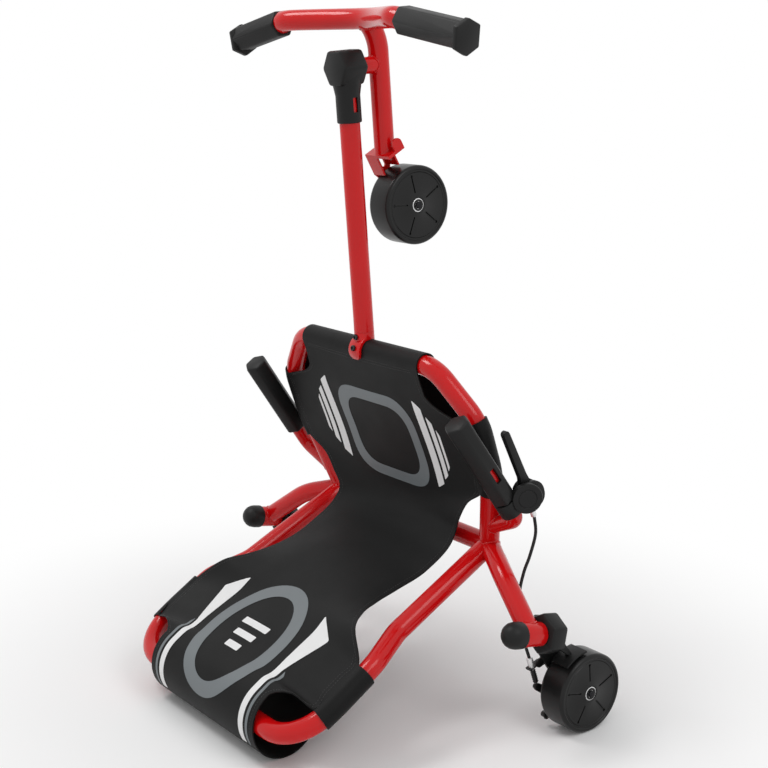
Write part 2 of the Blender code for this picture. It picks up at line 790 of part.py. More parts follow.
# Backrest rows: forward and up in the middle, and the height of the side tube at the sleeve
BACK_ROWS = ((0.119, 0.378, 0.376), (0.1095, 0.402, 0.401), (0.0985, 0.430, 0.430), (0.087, 0.458, 0.458))


def sling_seat_rows():
    rows = []
    for middle, edge, half in SEAT_ROWS:
        y, edge_y = SEAT_FRONT_Y - middle, SEAT_FRONT_Y - edge
        rows.append(sling_row((y, sling_height(y)), (half, edge_y, sling_height(edge_y))))
    first = SLEEVE_ROWS[0][0]
    span = SLEEVE_ROWS[-1][0] - first
    for middle, edge in SLEEVE_ROWS:
        y = SEAT_FRONT_Y - middle
        sag = SEAT_SAG * math.sin(math.pi / 2 * (middle - first) / span)
        wrap = sleeve(seat_path, 1, SEAT_FRONT_Y - edge, Vector((0, 0, 1)))
        rows.append(sling_row((y, sling_height(y) - sag), wrap[0]) + wrap[1:])
    return rows


def sling_back_rows():
    rows = [sling_row(middle, edge) for middle, edge in FREE_ROWS]
    for y, z, height in BACK_ROWS:
        wrap = sleeve(back_path, 2, height, Vector((0, 1, 0)))
        rows.append(sling_row((y, z), wrap[0]) + wrap[1:])
    return rows


def sling_roll_rows():
    """Rows from the backrest's top round the roll to the free edge behind the cloth's front layer."""
    mid_r = ROLL_R - CLOTH / 2
    last = Vector(BACK_ROWS[-1][:2])
    centre = Vector((ROLL_Y, ROLL_Z))
    heading = math.atan2(last.y - centre.y, last.x - centre.x)
    leave = heading + math.acos(mid_r / (last - centre).length)
    floor = math.pi - STAND_TILT
    tangent = centre + Vector((math.cos(leave), math.sin(leave))) * mid_r
    along = (tangent - last).normalized()
    inward = Vector((-along.y, along.x))
    if inward.dot(centre - tangent) < 0:
        inward.negate()
    joint = last.lerp(tangent, 0.45)
    end = last.lerp(tangent, 0.55) + inward * (CLOTH + 0.0012)
    over = arc(centre, mid_r, leave, floor, 8)
    under = arc(centre, mid_r, floor, floor + math.radians(143), 6)[1:]
    shoulder = [sling_row(tuple(joint), (ROLL_HALF + 0.036, joint.x, joint.y))]
    return shoulder + [sling_row(point, (ROLL_HALF, *point)) for point in over + under + [tuple(end)]]


def build_sling():
    """One sheet of cloth: hem, seat, waist, backrest and roll, lofted row by row on the right half."""
    rows = sling_hem() + sling_seat_rows() + sling_back_rows() + sling_roll_rows()
    shape = bmesh.new()
    grid = [[shape.verts.new(point) for point in row] for row in rows]
    for near, far in zip(grid, grid[1:]):
        for a, b, c, d in zip(near, near[1:], far[1:], far):
            shape.faces.new((a, b, c, d))
    sling = place(mesh_thing("sling_seat", shape), FABRIC, stand)
    smooth(sling, 60)
    mirror = sling.modifiers.new("left_half", "MIRROR")
    mirror.merge_threshold = 0.0001
    thick = sling.modifiers.new("cloth", "SOLIDIFY")
    thick.thickness = CLOTH
    thick.offset = 0


def build_centre():
    """The tube from the seat to the steering head, with the bracket at its foot and two screws."""
    tube("centre_tube", [Vector((0, BRACKET_SEAM_Y + GAP, CENTRE_Z)), Vector((0, centre_end(), CENTRE_Z))],
         TUBE_D, RED,
         stand)
    inner = (WRAP_R + CLOTH / 2 + 2 * GAP) / math.cos(BRACKET_ARC / 20)
    outer = inner + BRACKET_T
    front_tube = (SEAT_FRONT_Y, SEAT_FRONT_Z)
    saddle = arc(front_tube, inner, 0, BRACKET_ARC, 10) + arc(front_tube, outer, BRACKET_ARC, 0, 10)
    bracket = plate("centre_tube_bracket", [saddle], BRACKET_W, RED, stand, rotation=SIDEWAYS)
    end = SEAT_FRONT_Y + outer * math.cos(BRACKET_ARC) - 0.002
    tongue = link_outline((0, end + BRACKET_W / 2), BRACKET_W / 2, (0, SEAT_FRONT_Y + 0.05),
                          BRACKET_W / 2 - 0.0001)
    combine(bracket, plate("bracket_tongue", [tongue], 0.2, RED, stand, (0, 0, SEAT_FRONT_Z), (0, 0, 0),
                           cutters),
            "INTERSECT")
    stub = tube("bracket_stub",
                [Vector((0, SEAT_FRONT_Y + 0.008, CENTRE_Z)), Vector((0, BRACKET_SEAM_Y, CENTRE_Z))],
                TUBE_D, RED, stand, collection=cutters)
    hem = [Vector((-HEM_HALF, *front_tube)), Vector((HEM_HALF, *front_tube))]
    cope(stub, hem, 2 * inner - 2 * GAP, stand)
    join(bracket, stub)
    lean = BRACKET_ARC * 0.62
    on_saddle = Vector((0, SEAT_FRONT_Y, SEAT_FRONT_Z)) + Vector((0, math.cos(lean),
                                                                  math.sin(lean))) * (outer + GAP)
    upper = Vector((0, BRACKET_SEAM_Y - 0.007, CENTRE_Z + TUBE_R + GAP))
    screw_head("bracket_screw_lower", on_saddle, (0, math.cos(lean), math.sin(lean)))
    screw_head("bracket_screw_upper", upper, (0, 0, 1))


def centre_end():
    """Where the centre tube ends, short of the kingpin's bushings."""
    return STEER_Y - KINGPIN_D / 2 - STEER_BUSH_WALL - 2 * GAP - 0.004


def screw_head(name, place_at, way):
    """The head of a socket screw, with its socket."""
    r, high = SCREW_HEAD_D / 2, SCREW_HEAD_H
    profile = [(0, high * 0.4), (r * 0.5, high * 0.4), (r * 0.5, high), (r - 0.0006, high),
               (r, high - 0.0006),
               (r, 0), (0, 0)]
    turned(name, profile, BLACK_STEEL, stand, place_at, turn_to(way), 14)


def build_steering_head():
    """The six-sided cover at the end of the centre tube, with the kingpin's bore from below."""
    low = COVER_Z - COVER_H / 2
    high = COVER_Z + COVER_H / 2
    pin_at = (0, STEER_Y, 0)
    cover = prism("steering_head_cover", 6, COVER_ACROSS / math.sqrt(3), low, high, BLACK_PLASTIC, stand,
                  pin_at,
                  turn=math.pi / 6)
    rounded(cover, COVER_ROUND)
    sleeve_r = TUBE_R + GAP + SLEEVE_WALL
    neck = turned("head_neck",
                  [(0, STEER_Y), (NECK_R, STEER_Y), (NECK_R, NECK_Y + 0.008), (sleeve_r, NECK_Y - 0.006),
                   (sleeve_r, SLEEVE_END_Y + 0.001), (sleeve_r - 0.001, SLEEVE_END_Y), (0, SLEEVE_END_Y)],
                  BLACK_PLASTIC, stand, (0, 0, CENTRE_Z), (-math.pi / 2, 0, 0), 28, cutters)
    join(cover, neck)
    cut(cover, tube("centre_bore",
                    [Vector((0, SLEEVE_END_Y - 0.02, CENTRE_Z)), Vector((0, centre_end() + GAP, CENTRE_Z))],
                    TUBE_D + 2 * GAP, BLACK_PLASTIC, stand, collection=cutters))
    bush_r = KINGPIN_D / 2 + STEER_BUSH_WALL
    bore(cover, 2 * bush_r, low - 0.01, high - COVER_ROOF, pin_at, (0, 0, 0))
    window = box("sleeve_window", (0.02, WINDOW_L, WINDOW_W), BLACK_PLASTIC, stand,
                 (sleeve_r, WINDOW_Y, CENTRE_Z),
                 (0, 0, 0), cutters)
    cut(cover, window)
    turned("steering_bushing",
           spool(bush_r, KINGPIN_D / 2 + RUNNING, low, high - COVER_ROOF - 2 * GAP, STEER_BUSH_H),
           NYLON, stand, pin_at, steps=14)


def build_steering():
    """Foot bar, stem and kingpin, which turn together with the front fork."""
    tube("foot_bar", bar_path, TUBE_D, RED, steering)
    crown = Vector((0, STEM_END_Y - STEER_Y, STEM_Z))
    corner = Vector((0, STEM_CORNER_Y - STEER_Y, STEM_Z))
    stem_path = bent([bar_middle, corner, crown - Vector((0, 0.012, 0))], (STEM_BEND,))
    stem = tube("steering_stem", stem_path, TUBE_D, RED, steering)
    cope(stem, bar_path, TUBE_D, steering)
    pin_high = COVER_Z + COVER_H / 2 - COVER_ROOF - 2 * GAP
    rod("kingpin", KINGPIN_D, STEM_Z + TUBE_R, pin_high, ZINC, steering, sides=24)
    boss_high = COVER_Z - COVER_H / 2 - SIDE_PLAY
    boss = rod("kingpin_boss", BOSS_D, STEM_Z, boss_high, RED, steering, sides=24, collection=cutters)
    join(stem, boss)
    bore(stem, KINGPIN_D, STEM_Z + TUBE_R, boss_high + 0.01, (0, 0, 0), (0, 0, 0))
    build_front_fork(stem, crown)
    for side in (RIGHT, LEFT):
        build_foot_grip(side)
    build_front_wheel()


def build_front_fork(stem, crown):
    """A crown plate across the stem's end, a long leg to the axle and a short leg opposite."""
    axle = Vector((0, FRONT_WHEEL_Y - STEER_Y, WHEEL_R))
    down = (axle - crown).normalized()
    reach = (axle - crown).length
    fork = box("front_fork", (CROWN_W, CROWN_D, CROWN_T), RED, steering, crown, turn_to(-down))
    rounded(fork, 0.0022)
    below = crown + down * (0.05 - CROWN_T / 2 - GAP)
    cut(stem, box("crown_trim", (0.2, 0.2, 0.1), RED, steering, below, turn_to(-down), cutters))
    side_x = Vector((1, 0, 0))
    axes = turn_axes(down, side_x.cross(down))
    leg_x = side_x * (CROWN_W - LEG_T) / 2
    top = ((LEG_W - CROWN_T) / 2, 0)
    long_leg = plate("long_leg", [link_outline(top, LEG_W / 2, (reach, 0), LEG_HUB_R),
                                  circle((reach, 0), AXLE_D / 2 + GAP)],
                     LEG_T, RED, steering, crown - leg_x, axes, cutters)
    short_leg = plate("short_leg",
                      [link_outline(top, LEG_W / 2, (SHORT_LEG - LEG_W / 2, 0), LEG_W / 2 - 0.0001)],
                      LEG_T, RED, steering, crown + leg_x, axes, cutters)
    join(fork, long_leg)
    join(fork, short_leg)


def build_foot_grip(side):
    """A six-sided sleeve on an end of the foot bar, closed by a deeper flange."""
    end, start = on_side(bar_right, side)
    way = (end - start).normalized()
    length = (end - start).length + FOOT_GRIP_END
    grip = prism("foot_grip_" + WORDS[side], 6, FOOT_GRIP_ACROSS / math.sqrt(3), 0, length, BLACK_PLASTIC,
                 steering,
                 start, turn_to(way))
    rounded(grip, 0.003)
    across = Vector((0, 1, 0)).cross(way).normalized()
    corners = ((0.0, 0.46), (-0.5, 0.26), (-0.5, -0.32), (0.0, -0.54), (0.5, -0.32), (0.5, 0.26))
    outline = [(x * FOOT_FLANGE_W, y * FOOT_FLANGE_H) for x, y in corners]
    flange = plate("foot_flange_" + WORDS[side], [outline], FOOT_FLANGE_T, BLACK_PLASTIC, steering,
                   start + way * (length - FOOT_FLANGE_T / 2), turn_axes(across, way.cross(across)),
                   cutters)
    rounded(flange, 0.002)
    join(grip, flange)
    cut(grip, tube("foot_bore_" + WORDS[side], lengthened(bar_path, GAP), TUBE_D + 2 * GAP, BLACK_PLASTIC,
                   steering,
                   collection=cutters))


def wheel_profile(drum):
    """Half section of a wheel: face, rim lip, tread and the seats of both bearings."""
    half = WHEEL_W / 2
    seat_r = BEARING_D / 2 + GAP
    boss = HUB_BOSS_D / 2
    lip = WHEEL_R - RIM_LIP
    seat_z = half - BEARING_RECESS - BEARING_W - GAP
    face = half - FACE_RECESS
    outside = [(seat_r, half - 0.0004), (boss - 0.001, half - 0.0004), (boss + 0.001, face),
               (lip - 0.0015, face),
               (lip, half), (WHEEL_R - 0.0006, half - 0.0012), (WHEEL_R, half - 0.004)]
    inside = [(r, -z) for r, z in reversed(outside)]
    if drum:
        r = BRAKE_DRUM_D / 2
        deep = half - BRAKE_DRUM_DEEP
        inside = [(WHEEL_R, 0.004 - half), (WHEEL_R - 0.0006, 0.0012 - half), (lip, -half), (r, -half),
                  (r, -deep),
                  (boss, -deep), (boss, 0.0004 - half), (seat_r, 0.0004 - half)]
    spacer = seat_r - 0.0023
    return outside + inside + [(seat_r, -seat_z), (spacer, -seat_z), (spacer, seat_z), (seat_r, seat_z)]


def build_wheel(name, hub, turn, drum=False, faces=(1,)):
    """A wheel on its axle, with spoke grooves in each open face, and its two bearings."""
    wheel = turned(name, wheel_profile(drum), BLACK_WHEEL, hub, rotation=turn, steps=WHEEL_STEPS)
    slot = rounded_rectangle(GROOVE_L, GROOVE_W, GROOVE_W / 2 - 0.0001)
    for face in faces:
        for index in range(GROOVE_COUNT):
            angle = math.pi / 2 + math.tau * index / GROOVE_COUNT
            middle = GROOVE_START + GROOVE_L / 2
            spot = Vector((middle * math.cos(angle), middle * math.sin(angle),
                           face * (WHEEL_W / 2 - FACE_RECESS)))
            cut(wheel, plate(name + "_groove", [slot], 2 * GROOVE_DEPTH, BLACK_WHEEL, wheel, spot,
                             (0, 0, angle), cutters))
    high = WHEEL_W / 2 - BEARING_RECESS
    for word, low in (("outer", high - BEARING_W), ("inner", -high)):
        turned(name + "_bearing_" + word, ring(BEARING_D / 2, BEARING_BORE / 2, low, low + BEARING_W), ZINC,
               hub,
               rotation=turn, steps=14)


def axle_profile(arm_face, end):
    """An axle bolt: its head, its bearing seat and the shoulder that stands on the fork."""
    high = WHEEL_W / 2 - BEARING_RECESS + SIDE_PLAY
    r, shoulder = AXLE_D / 2, AXLE_HEAD_D / 2
    return [(0, high + 0.003), (shoulder - 0.001, high + 0.003), (shoulder, high + 0.002), (shoulder, high),
            (r, high),
            (r, -high), (shoulder, -high), (shoulder, arm_face + GAP), (r, arm_face + GAP), (r, end),
            (0, end)]


def build_axle(name, parent, turn, arm_face, thickness):
    """The axle bolt with its nut on the far side of the fork's arm."""
    nut_high = arm_face - thickness - GAP
    end = nut_high - AXLE_NUT_H - 0.002
    bolt = turned(name, axle_profile(arm_face, end), ZINC, parent, rotation=turn, steps=14)
    nut = prism(name + "_nut", 6, AXLE_NUT_ACROSS / math.sqrt(3), nut_high - AXLE_NUT_H, nut_high, ZINC,
                parent,
                rotation=turn, collection=cutters)
    join(bolt, nut)


def build_front_wheel():
    hub = empty("front_wheel_axis", steering, (0, FRONT_WHEEL_Y - STEER_Y, WHEEL_R))
    build_wheel("front_wheel", hub, ACROSS, faces=(1, -1))
    build_axle("front_axle_bolt", hub, ACROSS, LEG_T - CROWN_W / 2, LEG_T)


def caster_local(y, z):
    """A point in a rear wheel's plane, seen from its caster's own axes."""
    dy, dz = y - CASTER_Y, z - CASTER_Z
    c, s = math.cos(CASTER_RAKE), math.sin(CASTER_RAKE)
    return dy * c - dz * s, dy * s + dz * c


def build_caster(side):
    """Collar with the inner arm and outer stub, the pin and its nut, the wheel and its axle."""
    word = WORDS[side]
    foot = on_side([caster_foot], side)[0]
    pivot = empty("caster_swivel_" + word, stand, foot, (-CASTER_RAKE, 0, 0))
    hub_at = caster_local(0, WHEEL_R)
    collar_high = COLLAR_LOW + COLLAR_H
    fork = prism("caster_fork_" + word, 6, COLLAR_ACROSS / math.sqrt(3), COLLAR_LOW, collar_high,
                 BLACK_PLASTIC, pivot)
    rounded(fork, 0.004)
    top = (0, ARM_TOP_S)
    arm = plate("inner_arm_" + word,
                [link_outline(top, ARM_TOP_R, hub_at, ARM_HUB_R), circle(hub_at, AXLE_D / 2 + GAP)],
                ARM_T, BLACK_PLASTIC, pivot, (-side * ARM_X, 0, 0), SIDEWAYS, cutters)
    bridge = box("fork_bridge_" + word, (ARM_X, BRIDGE_W, BRIDGE_H), BLACK_PLASTIC, pivot,
                 (-side * ARM_X / 2, 0, COLLAR_LOW + BRIDGE_H / 2 + 0.002), (0, 0, 0), cutters)
    aim = math.atan2(-hub_at[1], -hub_at[0])
    start, end = aim - FENDER_ARC / 2, aim + FENDER_ARC / 2
    outer = FENDER_R + FENDER_T
    fender = plate("fender_" + word,
                   [arc(hub_at, outer, start, end, 8) + arc(hub_at, FENDER_R, end, start, 8)],
                   FENDER_W, BLACK_PLASTIC, pivot, (0, 0, 0), SIDEWAYS, cutters)
    landing = (hub_at[0] + outer * math.cos(aim), hub_at[1] + outer * math.sin(aim))
    web = plate("fender_web_" + word, [link_outline((0, COLLAR_LOW + 0.012), 0.011, landing, 0.0025)],
                WEB_T, BLACK_PLASTIC,
                pivot, (0, 0, 0), SIDEWAYS, cutters)
    for piece in (arm, bridge, web, fender):
        join(fork, piece)
    bore(fork, PIN_D, COLLAR_LOW + PIN_SEAT, collar_high + 0.01, (0, 0, 0), (0, 0, 0))
    pin_low = COLLAR_LOW + PIN_SEAT + GAP
    nut_low = HEAD_HIGH + SIDE_PLAY
    pin_high = nut_low + NUT_H + 0.003
    r = PIN_D / 2
    turned("caster_pin_" + word,
           [(0, pin_high), (r - 0.001, pin_high), (r, pin_high - 0.001), (r, pin_low), (0, pin_low)],
           ZINC, pivot)
    nut = prism("caster_nut_" + word, 6, NUT_ACROSS / math.sqrt(3), nut_low, nut_low + NUT_H, ZINC, pivot)
    bore(nut, PIN_D, nut_low - 0.01, nut_low + NUT_H + 0.01, (0, 0, 0), (0, 0, 0))
    hub = empty("rear_wheel_axis_" + word, pivot, (0, *hub_at), (CASTER_RAKE, 0, 0))
    turn = ACROSS if side == RIGHT else ACROSS_LEFT
    build_wheel("rear_wheel_" + word, hub, turn, drum=side == RIGHT)
    build_axle("rear_axle_bolt_" + word, hub, turn, ARM_T / 2 - ARM_X, ARM_T)
    if side == RIGHT:
        build_drum_brake(hub)
        build_cable_stop(hub)
        build_boot(hub)


def build_drum_brake(hub):
    """Backing plate on the fork's arm, brake arm with its shaft, and the shoe in the wheel's drum."""
    cam = (CAM_Y, CAM_Z)
    arm_face = ARM_T / 2 - ARM_X
    plate_x = arm_face + GAP + BACKING_T / 2
    backing = plate("brake_backing_plate",
                    [circle((0, 0), BACKING_D / 2, 32), circle((0, 0), AXLE_HEAD_D / 2 + 0.001),
                                            circle(cam, CAM_D / 2 + RUNNING)],
                    BACKING_T, BLACK_STEEL, hub, (plate_x, 0, 0), SIDEWAYS)
    lug = (LUG_Y, LUG_Z)
    join(backing, plate("backing_lug", [link_outline((LUG_Y * 0.8, LUG_Z * 0.8), 0.008, lug, 0.0065, 4)],
                        BACKING_T, BLACK_STEEL,
                        hub, (plate_x, 0, 0), SIDEWAYS, cutters))
    join(backing, rod("lug_bolt", LUG_BOLT_D, -ARM_X - ARM_T / 2 - 0.002, plate_x, BLACK_STEEL, hub,
                      (0, *lug), ACROSS, 14,
                      cutters))
    brake = empty("brake_arm_axis", hub, (0, *cam))
    tip = (BRAKE_ARM_Y - CAM_Y, BRAKE_ARM_Z - CAM_Z)
    shaft_end = BRAKE_DRUM_DEEP - WHEEL_W / 2 - 0.003
    arm = rod("brake_arm", CAM_D, -BLADE_X - BRAKE_ARM_T, shaft_end, BLACK_STEEL, brake, rotation=ACROSS,
              sides=16)
    join(arm, plate("arm_blade", [link_outline((0, 0), 0.0075, tip, 0.006)], BRAKE_ARM_T, BLACK_STEEL,
                    brake,
                    (-BLADE_X, 0, 0), SIDEWAYS, cutters))
    join(arm, rod("arm_clamp", 0.009, -BLADE_X - 0.006, -BLADE_X + 0.001, BLACK_STEEL, brake, (0, *tip),
                  ACROSS, 16, cutters))
    start = math.atan2(CAM_Z, CAM_Y) - math.radians(12)
    middle = (-CAM_Y, -CAM_Z)
    band = arc(middle, SHOE_OUT_R, start, start + SHOE_ARC, 14) + arc(middle, SHOE_IN_R, start + SHOE_ARC,
                                                                      start, 14)
    plate("brake_shoe", [band, circle((0, 0), CAM_D / 2 + GAP)], SHOE_T, LINING, brake,
          (shaft_end - 0.001 - SHOE_T / 2, 0, 0), SIDEWAYS)
    way = cable_pull()
    join(arm, rod("wire_stub", WIRE_D, 0, (stop_place() - arm_tip()).length - 0.012, BLACK_STEEL, brake,
                  (-BLADE_X, *tip),
                  turn_to(way), 8, cutters))


def arm_tip():
    """The end of the brake arm, from the wheel's centre."""
    return Vector((-BLADE_X, BRAKE_ARM_Y, BRAKE_ARM_Z))


def stop_place():
    """The middle of the cable's stop, from the wheel's centre."""
    return Vector((-BLADE_X, STOP_Y, STOP_Z - WHEEL_R))


def cable_pull():
    """The direction from the brake arm's end to the cable's stop."""
    return (stop_place() - arm_tip()).normalized()


def build_cable_stop(hub):
    """The tab on the fork's arm that holds the cable's adjuster."""
    pull, stop = cable_pull(), stop_place()
    below = Vector((0, pull.z, -pull.y))
    outer_x = -ARM_X - ARM_T / 2 - GAP
    inner_x = -BLADE_X - STOP_W / 2
    foot = [(stop + below * reach)[1:] for reach in (STOP_FOOT_NEAR, STOP_FOOT_FAR)]
    bracket = plate("cable_stop", [link_outline(foot[0], STOP_W / 2, foot[1], STOP_W / 2 - 0.0001)], STOP_T,
                    BLACK_STEEL, hub,
                    (outer_x - STOP_T / 2, 0, 0), SIDEWAYS)
    tab_high, tab_low = -STOP_W / 2, STOP_FOOT_NEAR + STOP_W / 2 - 0.002
    middle = stop + below * (tab_high + tab_low) / 2
    middle.x = (outer_x + inner_x) / 2
    join(bracket, box("cable_stop_tab", (outer_x - inner_x, tab_low - tab_high, STOP_T), BLACK_STEEL, hub,
                      middle,
                      turn_axes(Vector((1, 0, 0)), -below), cutters))
    bore(bracket, ADJUSTER_D * 0.7, -0.01, 0.01, stop, turn_to(pull), 16)
    r = ADJUSTER_D / 2
    neck = ADJUSTER_D * 0.35
    low = STOP_T / 2 + GAP
    turned("cable_adjuster",
           [(0, ADJUSTER_L), (r * 0.8, ADJUSTER_L), (r, ADJUSTER_L - 0.001), (r, low), (neck, low),
                              (neck, -STOP_T), (0, -STOP_T)], ZINC, hub, stop, turn_to(pull), 18)


def build_boot(hub):
    """The rubber bellows between the cable's stop and the brake arm's wire."""
    r = BOOT_D / 2
    low, high = -BOOT_END, -STOP_T - GAP
    folds = 4
    pitch = (high - low) / (2 * folds)
    outside = [(r if i % 2 else r * 0.7, high - i * pitch) for i in range(2 * folds + 1)]
    inner = WIRE_D / 2 + RUNNING
    turned("cable_boot", [(inner, high)] + outside + [(inner, low)], RUBBER, hub, stop_place(),
           turn_to(cable_pull()), 14)


def build_hand_brake():
    """Perch round the right handle with its drum housing, the sprung lever and its pin."""
    turn = turn_to(grip_way)
    drum_at = Vector((DRUM_X, DRUM_Y, DRUM_Z))
    low = -PERCH_H - GAP
    perch = rod("brake_perch", PERCH_D, low, -GAP, BLACK_PLASTIC, stand, grip_base, turn, 28)
    housing = rod("drum_housing", DRUM_D, -DRUM_W / 2, DRUM_W / 2, BLACK_PLASTIC, stand, drum_at, ACROSS,
                  28, cutters)
    collar_mid = grip_base - grip_way * PERCH_H / 2
    bridge_x = DRUM_X - DRUM_W / 2 + BRIDGE_T / 2 - 0.003
    bridge = plate("perch_bridge",
                   [link_outline((collar_mid.y, collar_mid.z), 0.011, (DRUM_Y, DRUM_Z), 0.015)], BRIDGE_T,
                   BLACK_PLASTIC, stand, (bridge_x, 0, 0), SIDEWAYS, cutters)
    join(perch, housing)
    join(perch, bridge)
    cut(perch, prism("grip_clearance", 6, GRIP_ACROSS / math.sqrt(3) + 2 * GAP, -GAP, 0.05, BLACK_PLASTIC,
                     stand,
                     grip_base, turn, collection=cutters))
    bore(perch, HANDLE_TUBE_D, low - 0.02, 0.02, grip_base, turn)
    pocket_r = LEVER_HUB_D / 2 + 0.001
    slot = LEVER_T + 2 * SIDE_PLAY
    mouth = [(DRUM_D, -pocket_r), (DRUM_D, DRUM_D), (0, DRUM_D)] + arc((0, 0), pocket_r, math.pi / 2,
                                                                       1.5 * math.pi, 10)
    cut(perch, plate("lever_pocket", [mouth], slot, BLACK_PLASTIC, stand, drum_at, SIDEWAYS, cutters))
    bore(perch, LEVER_PIN_D, 0.004 - DRUM_W / 2 - GAP, DRUM_W / 2 + 0.01, drum_at, ACROSS, 16)
    rod("brake_lever_pin", LEVER_PIN_D, 0.004 - DRUM_W / 2, DRUM_W / 2 + 0.001, ZINC, stand, drum_at,
        ACROSS, 16)
    build_lever(drum_at)
    build_ferrule(drum_at)


def build_lever(drum_at):
    """Hub on the pin, and the blade that reaches along the grip."""
    axis = empty("brake_lever_axis", stand, drum_at)
    tip = (LEVER_TIP_Y - DRUM_Y, LEVER_TIP_Z - DRUM_Z)
    lever = plate("brake_lever", [link_outline((0, 0), LEVER_HUB_D / 2, LEVER_ROOT, 0.0065),
                                  circle((0, 0), LEVER_PIN_D / 2 + RUNNING)],
                  LEVER_T, BLACK_PLASTIC, axis, rotation=SIDEWAYS)
    join(lever, plate("lever_blade", [link_outline(LEVER_ROOT, 0.0065, tip, 0.0055)], LEVER_T,
                      BLACK_PLASTIC, axis,
                      (0, 0, 0), SIDEWAYS, cutters))


# The brake cable's route from the ferrule down to the adjuster, point by point
CABLE_ROUTE = (Vector((0.286, 0.240, 0.080)), Vector((0.280, 0.205, 0.088)), Vector((0.277, 0.180, 0.099)),
               Vector((0.282, 0.150, 0.114)), Vector((0.300, 0.112, 0.129)), Vector((0.313, 0.084, 0.134)))


def build_ferrule(drum_at):
    """The metal end that holds the cable at the drum housing, and the cable down to its adjuster."""
    way = Vector((0, -math.cos(FERRULE_DROP), -math.sin(FERRULE_DROP)))
    start = drum_at + way * (DRUM_D / 2 + GAP)
    rod("cable_ferrule", FERRULE_D, 0, FERRULE_L, ZINC, stand, start, turn_to(way), 18)
    upper = start + way * (FERRULE_L + GAP)
    pull = cable_pull()
    lower = Vector((TRACK_HALF, 0, WHEEL_R)) + stop_place() + pull * (ADJUSTER_L + GAP)
    route = [upper, upper + way * CABLE_LEAD, *CABLE_ROUTE, lower + pull * CABLE_LEAD, lower]
    tube("brake_cable", flowing(route, 0.011), CABLE_D, RUBBER, stand, 3)


build_frame()
build_sling()
build_centre()
build_steering_head()
build_steering()
for caster_side in (RIGHT, LEFT):
    build_caster(caster_side)
build_hand_brake()
bpy.context.view_layer.update()
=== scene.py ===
"""Ride-on scooter: the finish of every surface, the cloth sling with its prints, and a plain studio.

The scooter is drawn as it is ridden, with x to the rider's right, y forward and z up, and one matrix
stands it on its tail, as it is stored. All sizes are in metres.
"""
import json
import math

import bmesh
import bpy
from bpy.props import FloatProperty, FloatVectorProperty, PointerProperty
from mathutils import Matrix, Quaternion, Vector
from mathutils.geometry import delaunay_2d_cdt

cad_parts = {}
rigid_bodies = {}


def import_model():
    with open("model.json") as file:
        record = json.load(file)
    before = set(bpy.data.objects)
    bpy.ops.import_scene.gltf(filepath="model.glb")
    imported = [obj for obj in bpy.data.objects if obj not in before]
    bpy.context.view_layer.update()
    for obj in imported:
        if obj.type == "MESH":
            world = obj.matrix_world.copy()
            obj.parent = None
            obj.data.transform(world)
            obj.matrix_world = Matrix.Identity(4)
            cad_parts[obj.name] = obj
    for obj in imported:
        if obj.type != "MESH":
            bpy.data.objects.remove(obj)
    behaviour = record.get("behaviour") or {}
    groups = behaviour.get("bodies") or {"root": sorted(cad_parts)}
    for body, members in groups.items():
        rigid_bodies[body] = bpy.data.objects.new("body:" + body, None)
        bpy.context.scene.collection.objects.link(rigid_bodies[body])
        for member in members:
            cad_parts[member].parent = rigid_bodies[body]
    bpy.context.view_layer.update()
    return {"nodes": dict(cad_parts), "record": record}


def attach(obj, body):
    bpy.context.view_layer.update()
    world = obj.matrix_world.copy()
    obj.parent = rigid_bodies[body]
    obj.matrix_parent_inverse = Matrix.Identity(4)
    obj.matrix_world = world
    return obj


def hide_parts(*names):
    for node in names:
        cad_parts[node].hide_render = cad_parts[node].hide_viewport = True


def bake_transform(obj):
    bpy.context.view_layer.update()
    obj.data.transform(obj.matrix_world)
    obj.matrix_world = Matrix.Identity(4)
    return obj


bl_info = {
    "name": "Ride-on scooter",
    "version": (1, 0, 0),
    "blender": (4, 5, 0),
    "location": "View3D > Sidebar > Scooter",
    "description": "Dresses the scooter's frame with its tubes, wheels, cloth sling and finishes",
    "category": "Add Mesh",
}

for stray in list(bpy.data.objects):
    bpy.data.objects.remove(stray, do_unlink=True)
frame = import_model()
nodes = frame["nodes"]

RIGHT, LEFT = 1, -1
WORDS = {RIGHT: "right", LEFT: "left"}

# Tubes, as the frame has them
TUBE_D = 0.0318
TUBE_R = TUBE_D / 2
HANDLE_TUBE_D = 0.0254
WHEEL_R = 0.0625
TRACK_HALF = 0.353

# Corners of the seat loop, the cross tube with its outriggers, and the backrest loop
SEAT_FRONT_Y = 0.500
SEAT_FRONT_Z = 0.166
SEAT_SIDE_Y = 0.425
SEAT_SIDE_Z = 0.147
SEAT_SLOPE = (SEAT_FRONT_Z - SEAT_SIDE_Z) / (SEAT_FRONT_Y - SEAT_SIDE_Y)
SEAT_BENDS = (0.060, 0.060, 0.120)
seat_front = Vector((0.172, SEAT_FRONT_Y, SEAT_FRONT_Z))
seat_side = Vector((0.241, SEAT_SIDE_Y, SEAT_SIDE_Z))
seat_rear = Vector((0.240, 0.335, 0.124))
node_right = Vector((0.195, 0.203, 0.095))
outrigger_bend = Vector((0.262, 0.186, 0.131))
OUTRIGGER_BENDS = (0.050, 0.110)
OUTRIGGER_LIFT = 0.065
GUSSET_D = 0.014
GUSSET_START = 0.4
GUSSET_END = 0.66
CASTER_RAKE = math.radians(15.8)
caster_foot = Vector((TRACK_HALF, 0.105, 0.096))
caster_up = Vector((0, math.sin(CASTER_RAKE), math.cos(CASTER_RAKE)))
HEAD_LOW = 0.0455
HEAD_HIGH = 0.085
HEAD_D = 0.0365
back_kink = Vector((0.205, 0.122, 0.294))
back_flare = Vector((0.232, 0.102, 0.358))
back_corner = Vector((0.232, 0.026, 0.505))
BACK_BENDS = (0.060, 0.060, 0.068)
BACK_SEAT = 0.012

